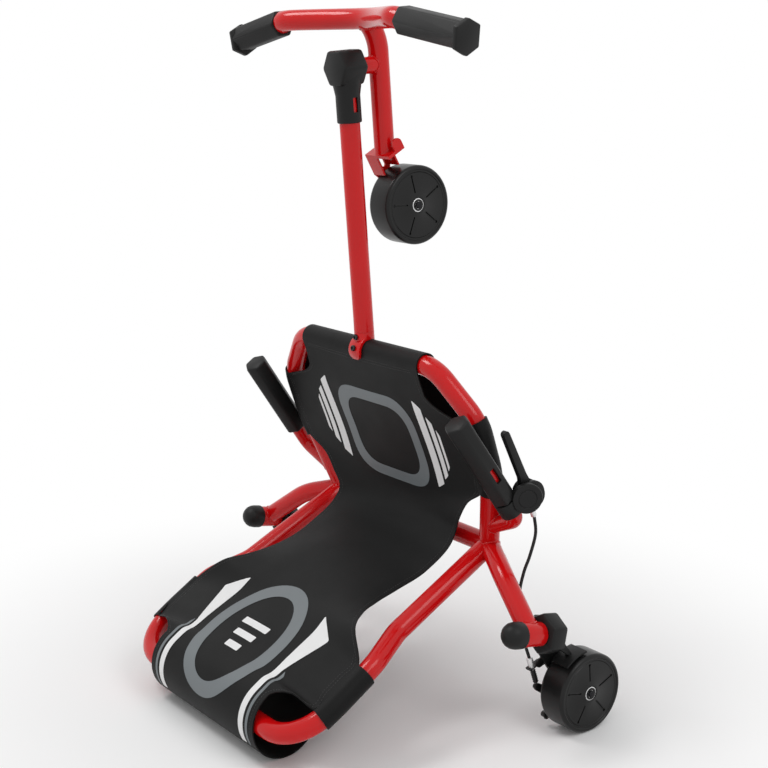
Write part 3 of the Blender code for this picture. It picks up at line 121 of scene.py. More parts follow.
# Cloth: thickness, step round a tube, hem, sleeves and rolled end
CLOTH = 0.002
CLOTH_STEP = math.radians(28)
FINE_STEP = math.radians(9)
SKIN_GAP = 0.0003
WRAP_R = (TUBE_R + 2 * SKIN_GAP + CLOTH / 2) / math.cos(CLOTH_STEP / 2)
HEM_HALF = 0.151
HEM_ARC = math.radians(250)
SLEEVE_ARC = math.radians(200)
SLEEVE_START = math.radians(97)
SEAT_SAG = 0.010
ROLL_R = 0.058
ROLL_HALF = 0.151
ROLL_Y = 0.020
ROLL_Z = 0.468
ROLL_UNDER_ARC = math.radians(143)
ROLL_OVER_STEPS = 24
ROLL_UNDER_STEPS = 18
ROLL_FLARE = 0.036
ROLL_JOINT = 0.45
ROLL_END = 0.55
LAYER_GAP = 0.0012

# Centre tube, steering head, stem, foot bar, and the fork with its crown, folded leg, lug and slot
CENTRE_Z = 0.167
CENTRE_START = 0.5313
STEER_Y = 0.939
CENTRE_END = 0.9234
STEM_Z = 0.104
STEM_CORNER_Y = 0.985
STEM_END_Y = 0.806
STEM_BEND = 0.070
STEM_OVERRUN = 0.012
BOSS_D = 0.026
BOSS_HIGH = 0.1445
BOSS_SUNK = 0.6
KINGPIN_D = 0.016
bar_middle = Vector((0, 1.008, 0.125))
bar_grip = Vector((0.153, 1.007, 0.173))
bar_end = Vector((0.275, 0.985, 0.168))
BAR_LEAD = 0.022
BAR_SPACING = 0.012
FRONT_WHEEL_Y = 0.718
CROWN_HALF_W = 0.030
CROWN_HALF_D = 0.017
CROWN_HALF_T = 0.0025
LEG_T = 0.003
LEG_HALF = 0.010
LEG_HUB_R = 0.013
FLANGE_LENGTH = 0.034
FLANGE_REACH = 0.027
LUG_R = 0.0092
LUG_RISE = 0.010
LUG_ASIDE = 0.0078
WEB_END = FLANGE_LENGTH * 1.45
SLOT_LOW = 0.029
SLOT_HIGH = 0.009
SLOT_ASIDE = 0.005
SLOT_R = 0.0035
PRESSED_EDGE = 0.0006
CUT_REACH = 0.1

# Handles: the grips' ends, and how the tube bends down to its foot, a share of the way along the seat loop
grip_base = Vector((0.275, 0.307, 0.130))
grip_end = Vector((0.268, 0.443, 0.210))
HANDLE_ELBOW_BACK = 0.044
HANDLE_BEND = 0.024
HANDLE_FOOT = 0.27
GRIP_WALL_END = 0.006

# Wheels: width, bearing seats, sunk face, hub, brake drum, grooves, and the bearings' seals
WHEEL_W = 0.050
BEARING_SEAT_R = 0.0113
BEARING_DEPTH = 0.0083
FACE_RECESS = 0.0016
HUB_BOSS_R = 0.016
DRUM_R = 0.042
DRUM_DEEP = 0.016
GROOVE_COUNT = 5
SEAL_INNER_R = 0.0060
SEAL_OUTER_R = 0.0094
SEAL_LOW = 0.0241
SEAL_HIGH = 0.0245

# Weld beads: the puddles round a tube and their swell, and how the main tube's skin is searched for
PUDDLES = 24
PUDDLE_SWELL = 0.16
WELD_NEAR = 0.15
WELD_REACH = 1.6
WELD_HALVINGS = 14

# Points this near are one: of one piece, of a frame node's faces, and on the sling's middle line
MERGE = 0.00001
FACE_MERGE = 0.00002
SEAM_MERGE = 0.00005
# Edges sharper than these angles are rounded, split for shading, or left sharp on a sheet
ROUNDED_ANGLE = math.radians(38)
SPLIT_ANGLE = math.radians(32)
SHEET_ANGLE = math.radians(50)

# The stand: the tilt at which the rear wheels and the roll touch the floor together
roll_reach = math.hypot(ROLL_Y, ROLL_Z - WHEEL_R)
STAND_TILT = math.acos((ROLL_R - WHEEL_R) / roll_reach) - math.atan2(ROLL_Z - WHEEL_R, ROLL_Y)
STAND_HEIGHT = WHEEL_R * (1 + math.sin(STAND_TILT))
roll_front = math.sin(STAND_TILT) * ROLL_Y + math.cos(STAND_TILT) * ROLL_Z + ROLL_R
STAND_BACK = (roll_front + (math.cos(STAND_TILT) - 1) * WHEEL_R) / 2
STAND = (Matrix.Translation((0, STAND_BACK, STAND_HEIGHT))
         @ Matrix.Rotation(math.pi / 2 + STAND_TILT, 4, "X"))


def linear(text):
    """A linear colour from an sRGB hex value such as #C0FFEE."""
    values = [int(text[i:i + 2], 16) / 255 for i in (1, 3, 5)]
    return [v / 12.92 if v <= 0.04045 else ((v + 0.055) / 1.055) ** 2.4 for v in values]


def length_property(name, description, default):
    return FloatProperty(name=name, description=description, default=default, min=0, subtype="DISTANCE",
                         unit="LENGTH")


def colour_property(name, description, value):
    return FloatVectorProperty(name=name, description=description, default=linear(value), min=0, max=1,
                               size=3, subtype="COLOR")


class ScooterSizes(bpy.types.PropertyGroup):
    """Sizes of the details that the dressing adds to the frame"""
    outer_shoulder: length_property("Outer shoulder", "Radius of the wheel's shoulder at its grooved face",
                                    0.0055)
    inner_shoulder: length_property("Inner shoulder", "Radius of the wheel's shoulder at its other face",
                                    0.0080)
    groove_width: length_property("Groove width", "Width of a groove in a wheel's face", 0.0022)
    groove_length: length_property("Groove length", "Length of a groove in a wheel's face", 0.027)
    groove_depth: length_property("Groove depth", "Depth of a groove in a wheel's face", 0.0020)
    weld_bead: length_property("Weld bead", "Thickness of the bead where two tubes are welded", 0.0034)
    edge_round: length_property("Edge rounding", "Rounding of a pressed or moulded edge", 0.0004)
    cable_jacket: length_property("Cable jacket", "Outer diameter of the brake cable", 0.005)
    thread: length_property("Thread", "Thickness of the sewing thread", 0.0007)
    stitch: length_property("Stitch", "Length of one stitch", 0.0032)
    stitch_pitch: length_property("Stitch pitch", "Distance from one stitch to the next", 0.0046)
    seam_inset: length_property("Seam inset", "Distance of the seam from the cloth's edge", 0.008)
    print_thickness: length_property("Print thickness", "Thickness of the ink on the cloth", 0.0001)


class ScooterColours(bpy.types.PropertyGroup):
    """Colours of the scooter's finishes"""
    frame_red: colour_property("Frame red", "Powder coat on the tubes", "#C90B0E")
    moulding: colour_property("Mouldings", "Black nylon of the grips, covers and forks", "#181818")
    wheel: colour_property("Wheels", "Black polyurethane of the wheels", "#161616")
    cloth: colour_property("Cloth", "Coated polyester of the sling", "#121212")
    print_white: colour_property("White print", "Pale ink on the cloth", "#E9E9E9")
    print_grey: colour_property("Grey print", "Middle ink on the cloth", "#6E7477")
    steel: colour_property("Zinc", "Plated bolts, pins and bearings", "#C6C8CA")


def add_node(tree, kind, settings=None, values=None, links=None):
    """Add a shader node, with its options, its socket values and the outputs that feed it."""
    made = tree.nodes.new(kind)
    for name, value in (settings or {}).items():
        setattr(made, name, value)
    for socket, value in (values or {}).items():
        made.inputs[socket].default_value = value
    for socket, output in (links or {}).items():
        tree.links.new(output, made.inputs[socket])
    return made


def surface(name, colour, sockets):
    """A Principled material with the sockets that are the same all over, and its patterns' coordinates."""
    material = bpy.data.materials.new(name)
    material.use_nodes = True
    tree = material.node_tree
    shader = tree.nodes["Principled BSDF"]
    shader.inputs["Base Color"].default_value = (*colour, 1)
    for socket, value in sockets.items():
        shader.inputs[socket].default_value = value
    return material, tree, shader, add_node(tree, "ShaderNodeTexCoord").outputs["Object"]


def shades(colour, dark, light):
    """A darker and a lighter shade of a colour."""
    return [(*[min(1, c * factor) for c in colour], 1) for factor in (dark, light)]


def vary(tree, shader, tint=None, gloss=None, relief=None):
    """Let patterns vary a finish: colour and roughness between two values, relief by strength and height."""
    if tint:
        pattern, first, second = tint
        mix = add_node(tree, "ShaderNodeMix", {"data_type": "RGBA"}, {6: first, 7: second}, {0: pattern})
        tree.links.new(mix.outputs[2], shader.inputs["Base Color"])
    if gloss:
        pattern, low, high = gloss
        span = add_node(tree, "ShaderNodeMapRange", None, {"To Min": low, "To Max": high},
                        {"Value": pattern})
        tree.links.new(span.outputs["Result"], shader.inputs["Roughness"])
    if relief:
        pattern, strength, height = relief
        bump = add_node(tree, "ShaderNodeBump", None, {"Strength": strength, "Distance": height},
                        {"Height": pattern})
        tree.links.new(bump.outputs["Normal"], shader.inputs["Normal"])


def powder_coat(colour):
    """Gloss red powder coat on steel tube, baked: faint orange peel under a clear wet shine."""
    sockets = {"IOR": 1.5, "Specular IOR Level": 0.32}
    material, tree, shader, place = surface("gloss_powder_coat", colour, sockets)
    cloud = add_node(tree, "ShaderNodeTexNoise", None, {"Scale": 1 / 0.045, "Detail": 2.0},
                     {"Vector": place})
    # Orange peel of a powder coat has waves 2 to 4 mm long
    peel = add_node(tree, "ShaderNodeTexNoise", None, {"Scale": 1 / 0.003, "Detail": 1.0},
                    {"Vector": place})
    vary(tree, shader, tint=(cloud.outputs["Fac"], *shades(colour, 0.93, 1.04)),
         gloss=(cloud.outputs["Fac"], 0.12, 0.18), relief=(peel.outputs["Fac"], 0.12, 0.0002))
    return material


def moulded_nylon(colour):
    """Glass-filled nylon from a spark-eroded mould: satin, with a fine even grain."""
    sockets = {"IOR": 1.5, "Specular IOR Level": 0.22}
    material, tree, shader, place = surface("moulded_nylon", colour, sockets)
    # The real grain is 0.3 mm; 0.8 mm is the finest that still shows
    grain = add_node(tree, "ShaderNodeTexNoise", None, {"Scale": 1 / 0.0008, "Detail": 3.0},
                     {"Vector": place})
    flow = add_node(tree, "ShaderNodeTexNoise", None, {"Scale": 1 / 0.03, "Detail": 2.0}, {"Vector": place})
    vary(tree, shader, tint=(grain.outputs["Fac"], *shades(colour, 0.85, 1.15)),
         gloss=(flow.outputs["Fac"], 0.40, 0.54), relief=(grain.outputs["Fac"], 0.35, 0.00012))
    return material


def cast_polyurethane(colour):
    """Cast polyurethane, polished by its mould: a soft deep gloss with slight flow marks."""
    sockets = {"IOR": 1.5, "Specular IOR Level": 0.25}
    material, tree, shader, place = surface("cast_polyurethane", colour, sockets)
    flow = add_node(tree, "ShaderNodeTexNoise", None, {"Scale": 1 / 0.018, "Detail": 3.0},
                    {"Vector": place})
    vary(tree, shader, gloss=(flow.outputs["Fac"], 0.24, 0.38), relief=(flow.outputs["Fac"], 0.10, 0.0002))
    return material


def coated_steel():
    """Black electro-coated sheet steel: thin even satin paint."""
    sockets = {"IOR": 1.5, "Specular IOR Level": 0.35}
    material, tree, shader, place = surface("electro_coated_steel", linear("#161616"), sockets)
    mill = add_node(tree, "ShaderNodeTexNoise", None, {"Scale": 1 / 0.002, "Detail": 2.0},
                    {"Vector": place})
    vary(tree, shader, gloss=(mill.outputs["Fac"], 0.28, 0.42), relief=(mill.outputs["Fac"], 0.15, 0.0001))
    return material


def zinc_plate(colour):
    """Bright zinc plate on turned steel: fine tool marks under a clear metal shine."""
    material, tree, shader, place = surface("zinc_plated_steel", colour, {"Metallic": 1.0})
    across = add_node(tree, "ShaderNodeMapping", None, {"Scale": (8.0, 1.0, 1.0)}, {"Vector": place})
    marks = add_node(tree, "ShaderNodeTexNoise", None, {"Scale": 1 / 0.004, "Detail": 3.0},
                     {"Vector": across.outputs["Vector"]})
    vary(tree, shader, tint=(marks.outputs["Fac"], *shades(colour, 0.88, 1.06)),
         gloss=(marks.outputs["Fac"], 0.20, 0.36))
    return material


def black_chromate():
    """Zinc plate passivated black, on bolts: a dark metal with a soft uneven shine."""
    material, tree, shader, place = surface("black_chromate", linear("#2A2A2C"), {"Metallic": 1.0})
    stain = add_node(tree, "ShaderNodeTexNoise", None, {"Scale": 1 / 0.003, "Detail": 2.0},
                     {"Vector": place})
    vary(tree, shader, gloss=(stain.outputs["Fac"], 0.28, 0.45))
    return material


def natural_nylon():
    """Unpigmented nylon bushing: milky white and waxy."""
    sockets = {"IOR": 1.53, "Subsurface Weight": 0.1, "Subsurface Scale": 0.002}
    material, tree, shader, place = surface("natural_nylon", linear("#E4E2D8"), sockets)
    cloud = add_node(tree, "ShaderNodeTexNoise", None, {"Scale": 1 / 0.006}, {"Vector": place})
    vary(tree, shader, gloss=(cloud.outputs["Fac"], 0.35, 0.5))
    return material


def extruded_rubber():
    """Extruded black rubber: soft sheen with faint lines left by the die."""
    sockets = {"IOR": 1.5, "Specular IOR Level": 0.3}
    material, tree, shader, place = surface("extruded_rubber", linear("#131313"), sockets)
    skin = add_node(tree, "ShaderNodeTexNoise", None, {"Scale": 1 / 0.0015, "Detail": 2.0},
                    {"Vector": place})
    vary(tree, shader, gloss=(skin.outputs["Fac"], 0.38, 0.55), relief=(skin.outputs["Fac"], 0.2, 0.0001))
    return material


def friction_lining():
    """Moulded brake lining: brown resin with pale and dark specks."""
    material, tree, shader, place = surface("friction_lining", linear("#4A3D33"), {"Roughness": 0.85})
    specks = add_node(tree, "ShaderNodeTexVoronoi", None, {"Scale": 1 / 0.0012}, {"Vector": place})
    vary(tree, shader, tint=(specks.outputs["Distance"], (*linear("#3A2F28"), 1), (*linear("#7A6A58"), 1)))
    return material


# The real cloth has a thread every 0.5 mm; one every 1.6 mm is the finest that still shows
THREAD_SPACING = 0.0016


def woven_height(tree):
    """The height of a plain weave: two sine waves in the cloth's own flat metres, multiplied."""
    flat = add_node(tree, "ShaderNodeUVMap").outputs["UV"]
    apart = add_node(tree, "ShaderNodeSeparateXYZ", None, None, {"Vector": flat})
    waves = []
    for axis in ("X", "Y"):
        turns = add_node(tree, "ShaderNodeMath", {"operation": "MULTIPLY"}, {1: math.pi / THREAD_SPACING},
                         {0: apart.outputs[axis]})
        waves.append(add_node(tree, "ShaderNodeMath", {"operation": "SINE"}, None, {0: turns.outputs[0]}))
    return add_node(tree, "ShaderNodeMath", {"operation": "MULTIPLY"}, None,
                    {0: waves[0].outputs[0], 1: waves[1].outputs[0]}).outputs[0]


def coated_cloth(colour):
    """Polyester cloth coated on its back: a plain weave with a low sheen along its folds."""
    sockets = {"IOR": 1.48, "Specular IOR Level": 0.15, "Sheen Weight": 0.03, "Sheen Roughness": 0.4}
    material, tree, shader, place = surface("coated_polyester", colour, sockets)
    weave = woven_height(tree)
    cloud = add_node(tree, "ShaderNodeTexNoise", None, {"Scale": 1 / 0.05, "Detail": 3.0},
                     {"Vector": place})
    vary(tree, shader, tint=(weave, *shades(colour, 0.8, 1.25)), gloss=(cloud.outputs["Fac"], 0.48, 0.62),
         relief=(weave, 0.22, 0.00012))
    return material


def screen_print(name, colour):
    """Plastisol ink screened on the cloth: smooth, with the weave just showing through."""
    material, tree, shader, place = surface(name, colour, {"IOR": 1.5})
    cloud = add_node(tree, "ShaderNodeTexNoise", None, {"Scale": 1 / 0.02, "Detail": 3.0},
                     {"Vector": place})
    vary(tree, shader, tint=(cloud.outputs["Fac"], *shades(colour, 0.94, 1.03)),
         gloss=(cloud.outputs["Fac"], 0.42, 0.55), relief=(woven_height(tree), 0.10, 0.0001))
    return material


def sewing_thread():
    """Bonded polyester thread: dark, with a slight twist in its sheen."""
    material, tree, shader, place = surface("sewing_thread", linear("#2A2A2A"), {"Sheen Weight": 0.2})
    twist = add_node(tree, "ShaderNodeTexNoise", None, {"Scale": 1 / 0.0008}, {"Vector": place})
    vary(tree, shader, gloss=(twist.outputs["Fac"], 0.5, 0.7))
    return material


def mirrored(points):
    return [Vector((-x, y, z)) for x, y, z in points]


def on_side(points, side):
    return [Vector((side * x, y, z)) for x, y, z in points]


def both_sides(half):
    """A path over both sides, from the points of its right half, from the outer end inward."""
    return list(half) + mirrored(reversed(half))


def bent(points, bends, step=math.radians(5)):
    """The centre line through corner points, with a round bend at each inner corner."""
    points = [Vector(point) for point in points]
    path = [points[0]]
    for corner_at, bend in zip(range(1, len(points) - 1), bends):
        corner = points[corner_at]
        back = (points[corner_at - 1] - corner).normalized()
        ahead = (points[corner_at + 1] - corner).normalized()
        inner = back.angle(ahead)
        centre = corner + (back + ahead).normalized() * bend / math.sin(inner / 2)
        arm = corner + back * bend / math.tan(inner / 2) - centre
        axis = back.cross(ahead).normalized()
        turn = inner - math.pi
        count = max(2, math.ceil(abs(turn) / step))
        path += [centre + Quaternion(axis, turn * i / count) @ arm for i in range(count + 1)]
    path.append(points[-1])
    return path


def flowing(points, spacing):
    """A smooth curve through the given points, sampled about every spacing."""
    points = [Vector(point) for point in points]
    padded = [points[0] * 2 - points[1]] + points + [points[-1] * 2 - points[-2]]
    path = []
    for a, b, c, d in zip(padded, padded[1:], padded[2:], padded[3:]):
        count = max(1, round((c - b).length / spacing))
        for i in range(count):
            t = i / count
            path.append(0.5 * (2 * b + (c - a) * t + (2 * a - 5 * b + 4 * c - d) * t ** 2
                               + (3 * b - a - 3 * c + d) * t ** 3))
    path.append(points[-1])
    return path


def crossing(path, axis, value):
    """The point where a path first meets a plane across one axis, and the path's direction there."""
    for a, b in zip(path, path[1:]):
        if (a[axis] - value) * (b[axis] - value) <= 0 and a[axis] != b[axis]:
            return a.lerp(b, (value - a[axis]) / (b[axis] - a[axis])), (b - a).normalized()
    raise ValueError("the path does not meet the plane")


def arc(centre, radius, start, end, count):
    """Points on an arc, with angles in radians."""
    angles = [start + (end - start) * i / count for i in range(count + 1)]
    return [(centre[0] + radius * math.cos(a), centre[1] + radius * math.sin(a)) for a in angles]


def turn_to(direction):
    """The rotation that takes an object's z axis to a direction."""
    return Vector(direction).to_track_quat("Z", "Y")


# Centre lines of the tubes, at the spacing that a smooth render needs
seat_path = bent(both_sides([node_right, seat_rear, seat_side, seat_front]), SEAT_BENDS[::-1] + SEAT_BENDS)
outrigger_end = caster_foot + caster_up * OUTRIGGER_LIFT
cross_path = bent(both_sides([outrigger_end, outrigger_bend, node_right]),
                  OUTRIGGER_BENDS[::-1] + OUTRIGGER_BENDS)
back_up = (back_kink - node_right).normalized()
back_foot = node_right + back_up * BACK_SEAT
back_path = bent(both_sides([back_foot, back_kink, back_flare, back_corner]), BACK_BENDS + BACK_BENDS[::-1])
grip_way = (grip_end - grip_base).normalized()
handle_foot = node_right.lerp(seat_rear, HANDLE_FOOT)
handle_elbow = grip_base - grip_way * HANDLE_ELBOW_BACK
handle_tip = grip_end - grip_way * GRIP_WALL_END
bar_lead = bar_grip + (bar_grip - bar_end).normalized() * BAR_LEAD
bar_half = [bar_end, bar_grip, bar_lead]
bar_path = flowing(bar_half + [bar_middle] + mirrored(reversed(bar_half)), BAR_SPACING)
stem_crown = Vector((0, STEM_END_Y, STEM_Z))
stem_corner = Vector((0, STEM_CORNER_Y, STEM_Z))
stem_path = bent([bar_middle, stem_corner, stem_crown - Vector((0, STEM_OVERRUN, 0))], (STEM_BEND,))


def new_object(name, data):
    """An object with its data, linked to the scene."""
    made = bpy.data.objects.new(name, data)
    bpy.context.scene.collection.objects.link(made)
    return made


def from_shape(name, shape):
    """An object with the mesh of a bmesh, which is freed."""
    mesh = bpy.data.meshes.new(name)
    shape.to_mesh(mesh)
    shape.free()
    return new_object(name, mesh)


def settle(thing):
    """Turn an object with its modifiers into a plain mesh in world coordinates, standing with the scooter."""
    bpy.context.view_layer.update()
    evaluated = thing.evaluated_get(bpy.context.evaluated_depsgraph_get())
    mesh = bpy.data.meshes.new_from_object(evaluated)
    mesh.transform(STAND @ thing.matrix_world)
    name = thing.name
    bpy.data.objects.remove(thing, do_unlink=True)
    return new_object(name, mesh)


def thickened(sheet, thickness):
    """Give a sheet its thickness, half on each side, then settle it and shade it smooth."""
    thick = sheet.modifiers.new("thickness", "SOLIDIFY")
    thick.thickness = thickness
    thick.offset = 0
    made = settle(sheet)
    made.data.shade_smooth()
    made.data.set_sharp_from_angle(angle=SHEET_ANGLE)
    return made


def weld_and_smooth(thing, angle=35):
    """Join doubled points and shade a piece smooth, apart from edges sharper than an angle in degrees."""
    shape = bmesh.new()
    shape.from_mesh(thing.data)
    bmesh.ops.remove_doubles(shape, verts=shape.verts, dist=MERGE)
    bmesh.ops.recalc_face_normals(shape, faces=shape.faces)
    shape.to_mesh(thing.data)
    shape.free()
    thing.data.shade_smooth()
    thing.data.set_sharp_from_angle(angle=math.radians(angle))
    return thing


def dress(thing, material, body, replaces=()):
    """Give a piece its material and the body that it rides on, and hide the nodes that it stands for."""
    thing.data.materials.clear()
    thing.data.materials.append(material)
    if body:
        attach(thing, body)
    if replaces:
        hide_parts(*replaces)
    return thing


def tube(name, path, diameter, sides=36, radii=None, closed=False):
    """A round bar along a path, with filled ends or closed on itself."""
    curve = bpy.data.curves.new(name, "CURVE")
    curve.dimensions = "3D"
    spline = curve.splines.new("POLY")
    spline.points.add(len(path) - 1)
    for i, (point, spot) in enumerate(zip(spline.points, path)):
        point.co = (*spot, 1.0)
        point.radius = radii[i] if radii else 1.0
    spline.use_cyclic_u = closed
    curve.bevel_depth = diameter / 2
    curve.bevel_resolution = sides // 2 - 2
    curve.use_fill_caps = not closed
    return weld_and_smooth(settle(new_object(name, curve)), 50)


def turned(name, profile, matrix, steps=96):
    """A solid of revolution about a matrix's z axis; its profile runs down the outer side."""
    mesh = bpy.data.meshes.new(name)
    edges = [(i, i + 1) for i in range(len(profile) - 1)]
    if profile[0][0] > 0 and profile[-1][0] > 0:
        edges.append((len(profile) - 1, 0))
    mesh.from_pydata([(r, 0, z) for r, z in profile], edges, [])
    body = new_object(name, mesh)
    body.matrix_world = matrix
    screw = body.modifiers.new("turn", "SCREW")
    screw.steps = steps
    screw.render_steps = steps
    screw.use_merge_vertices = True
    screw.merge_threshold = MERGE
    screw.use_smooth_shade = True
    return body


def slab(name, outline, low, high, matrix):
    """A flat plate: an outline in a matrix's x and y, between two heights along its z."""
    shape = bmesh.new()
    bottom = [shape.verts.new((x, y, low)) for x, y in outline]
    top = [shape.verts.new((x, y, high)) for x, y in outline]
    shape.faces.new(bottom[::-1])
    shape.faces.new(top)
    for a, b, c, d in zip(bottom, bottom[1:] + bottom[:1], top[1:] + top[:1], top):
        shape.faces.new((a, b, c, d))
    bmesh.ops.recalc_face_normals(shape, faces=shape.faces)
    plate = from_shape(name, shape)
    plate.matrix_world = matrix
    return plate


def round_sharp_edges(thing, width):
    bevel = thing.modifiers.new("rounded_edges", "BEVEL")
    bevel.width = width
    bevel.segments = 2
    bevel.limit_method = "ANGLE"
    bevel.angle_limit = ROUNDED_ANGLE


def fused(base, added, removed, rounding=0.0):
    """Join settled pieces to a settled piece, cut others out of it and round its edges."""
    for operation, pieces in (("UNION", added), ("DIFFERENCE", removed)):
        for piece in pieces:
            step = base.modifiers.new(operation.lower(), "BOOLEAN")
            step.operation = operation
            step.object = piece
            step.solver = "EXACT"
    if rounding:
        round_sharp_edges(base, rounding)
    bpy.context.view_layer.update()
    mesh = bpy.data.meshes.new_from_object(base.evaluated_get(bpy.context.evaluated_depsgraph_get()))
    base.modifiers.clear()
    base.data = mesh
    for piece in (*added, *removed):
        bpy.data.objects.remove(piece, do_unlink=True)
    return weld_and_smooth(base)


def distance_to(path, point):
    """The least distance from a point to a path."""
    best = math.inf
    for a, b in zip(path, path[1:]):
        along = b - a
        share = max(0.0, min(1.0, (point - a).dot(along) / along.length_squared))
        best = min(best, (a + along * share - point).length)
    return best


def weld_bead(name, start, way, branch_d, main_path, main_d, thickness, count=72):
    """The bead round the foot of a tube that is welded on another: a row of overlapping puddles."""
    way = way.normalized()
    turn = turn_to(way)
    segments = list(zip(main_path, main_path[1:]))
    near = [pair for pair in segments if min((point - start).length for point in pair) < WELD_NEAR]
    segments = near or segments
    ring = []
    for i in range(count):
        angle = math.tau * i / count
        skin = start + turn @ Vector((math.cos(angle), math.sin(angle), 0)) * branch_d / 2
        low, high = 0.0, main_d * WELD_REACH
        for _ in range(WELD_HALVINGS):
            middle = (low + high) / 2
            reach = min(distance_to(pair, skin + way * middle) for pair in segments)
            if reach < main_d / 2:
                low = middle
            else:
                high = middle
        ring.append(skin + way * low)
    radii = [1.0 + PUDDLE_SWELL * math.sin(math.tau * PUDDLES * i / count) for i in range(count)]
    return tube(name, ring, thickness, 10, radii, closed=True)


class ScooterOperator(bpy.types.Operator):
    """What every step of the dressing shares"""
    bl_options = {"REGISTER", "UNDO"}

    def colours(self):
        return bpy.context.scene.scooter_colours

    def sizes(self):
        return bpy.context.scene.scooter_sizes

    def material(self, name):
        """One of the scooter's finishes, made the first time that it is asked for."""
        if name not in bpy.data.materials:
            colours = self.colours()
            makers = {
                "gloss_powder_coat": lambda: powder_coat(colours.frame_red),
                "moulded_nylon": lambda: moulded_nylon(colours.moulding),
                "cast_polyurethane": lambda: cast_polyurethane(colours.wheel),
                "electro_coated_steel": coated_steel,
                "zinc_plated_steel": lambda: zinc_plate(colours.steel),
                "black_chromate": black_chromate,
                "natural_nylon": natural_nylon,
                "extruded_rubber": extruded_rubber,
                "friction_lining": friction_lining,
                "coated_polyester": lambda: coated_cloth(colours.cloth),
                "white_print": lambda: screen_print("white_print", colours.print_white),
                "grey_print": lambda: screen_print("grey_print", colours.print_grey),
                "sewing_thread": sewing_thread,
            }
            makers[name]()
        return bpy.data.materials[name]


class SCOOTER_OT_hardware(ScooterOperator):
    """Finish the pieces whose shape stays as the frame has it"""
    bl_idname = "scooter.hardware"
    bl_label = "Hardware"
    FINISHES = {
        "red_powder_coat": "gloss_powder_coat",
        "black_moulded_plastic": "moulded_nylon",
        "black_polyurethane": "cast_polyurethane",
        "black_steel": "electro_coated_steel",
        "zinc_plated_steel": "zinc_plated_steel",
        "white_nylon": "natural_nylon",
        "black_rubber": "extruded_rubber",
        "black_coated_fabric": "coated_polyester",
        "brake_lining": "friction_lining",
    }
    DARK_BOLTS = ("front_axle_bolt", "rear_axle_bolt_right", "rear_axle_bolt_left", "brake_lever_pin")

    def execute(self, context):
        for row in frame["record"]["subparts"]:
            name = row["node"]
            node = nodes[name]
            finish = "black_chromate" if name in self.DARK_BOLTS else self.FINISHES[row["material_slot"]]
            node.data.materials.clear()
            node.data.materials.append(self.material(finish))
            self.round_edges(node)
        return {"FINISHED"}

    def round_edges(self, node):
        """Join the faces of a node again, round its sharp edges a little and shade its round faces smooth."""
        if "custom_normal" in node.data.attributes:
            node.data.attributes.remove(node.data.attributes["custom_normal"])
        node.data.shade_smooth()
        weld = node.modifiers.new("joined_faces", "WELD")
        weld.merge_threshold = FACE_MERGE
        round_sharp_edges(node, self.sizes().edge_round)
        split = node.modifiers.new("sharp_edges", "EDGE_SPLIT")
        split.split_angle = SPLIT_ANGLE


class SCOOTER_OT_frame_tubes(ScooterOperator):
    """Make the bent tubes of the frame, with the beads of their welds"""
    bl_idname = "scooter.frame_tubes"
    bl_label = "Frame tubes"

    def execute(self, context):
        red = self.material("gloss_powder_coat")
        bead = self.sizes().weld_bead
        dress(tube("seat_loop", seat_path, TUBE_D), red, "frame", ["seat_loop_tube"])
        dress(tube("backrest_loop", back_path, TUBE_D), red, "frame", ["backrest_loop_tube"])
        dress(tube("cross_tube_bent", cross_path, TUBE_D), red, "frame", ["cross_tube"])
        centre = [Vector((0, y, CENTRE_Z)) for y in (CENTRE_START, CENTRE_END)]
        dress(tube("centre_tube_round", centre, TUBE_D), red, "frame", ["centre_tube"])
        drop = (outrigger_end - outrigger_bend).cross(Vector((1, 0, 0))).normalized() * TUBE_R
        if drop.z > 0:
            drop.negate()
        rib_start = node_right.lerp(outrigger_bend, GUSSET_START)
        rib_end = outrigger_bend.lerp(outrigger_end, GUSSET_END)
        rib = [point + drop for point in bent([rib_start, outrigger_bend, rib_end], OUTRIGGER_BENDS[1:])]
        for side, word in WORDS.items():
            dress(tube("outrigger_rib_" + word, on_side(rib, side), GUSSET_D, 24), red, "frame")
            handle = bent([handle_foot, handle_elbow, handle_tip], (HANDLE_BEND,))
            handle = tube("handle_bent_tube_" + word, on_side(handle, side), HANDLE_TUBE_D)
            dress(handle, red, "frame", ["handle_tube_" + word])
            head_path = [caster_foot + caster_up * HEAD_LOW, caster_foot + caster_up * HEAD_HIGH]
            welds = {
                "seat_weld": (node_right, seat_rear - node_right, TUBE_D, cross_path, TUBE_D),
                "handle_weld": (handle_foot, handle_elbow - handle_foot, HANDLE_TUBE_D, seat_path, TUBE_D),
                "head_weld": (outrigger_end, outrigger_bend - outrigger_end, TUBE_D, head_path, HEAD_D),
            }
            for weld, (start, way, branch_d, main, main_d) in welds.items():
                foot, rise = on_side([start, way], side)
                main = on_side(main, side)
                piece = weld_bead(weld + "_" + word, foot, rise, branch_d, main, main_d, bead)
                dress(piece, red, "frame")
        return {"FINISHED"}


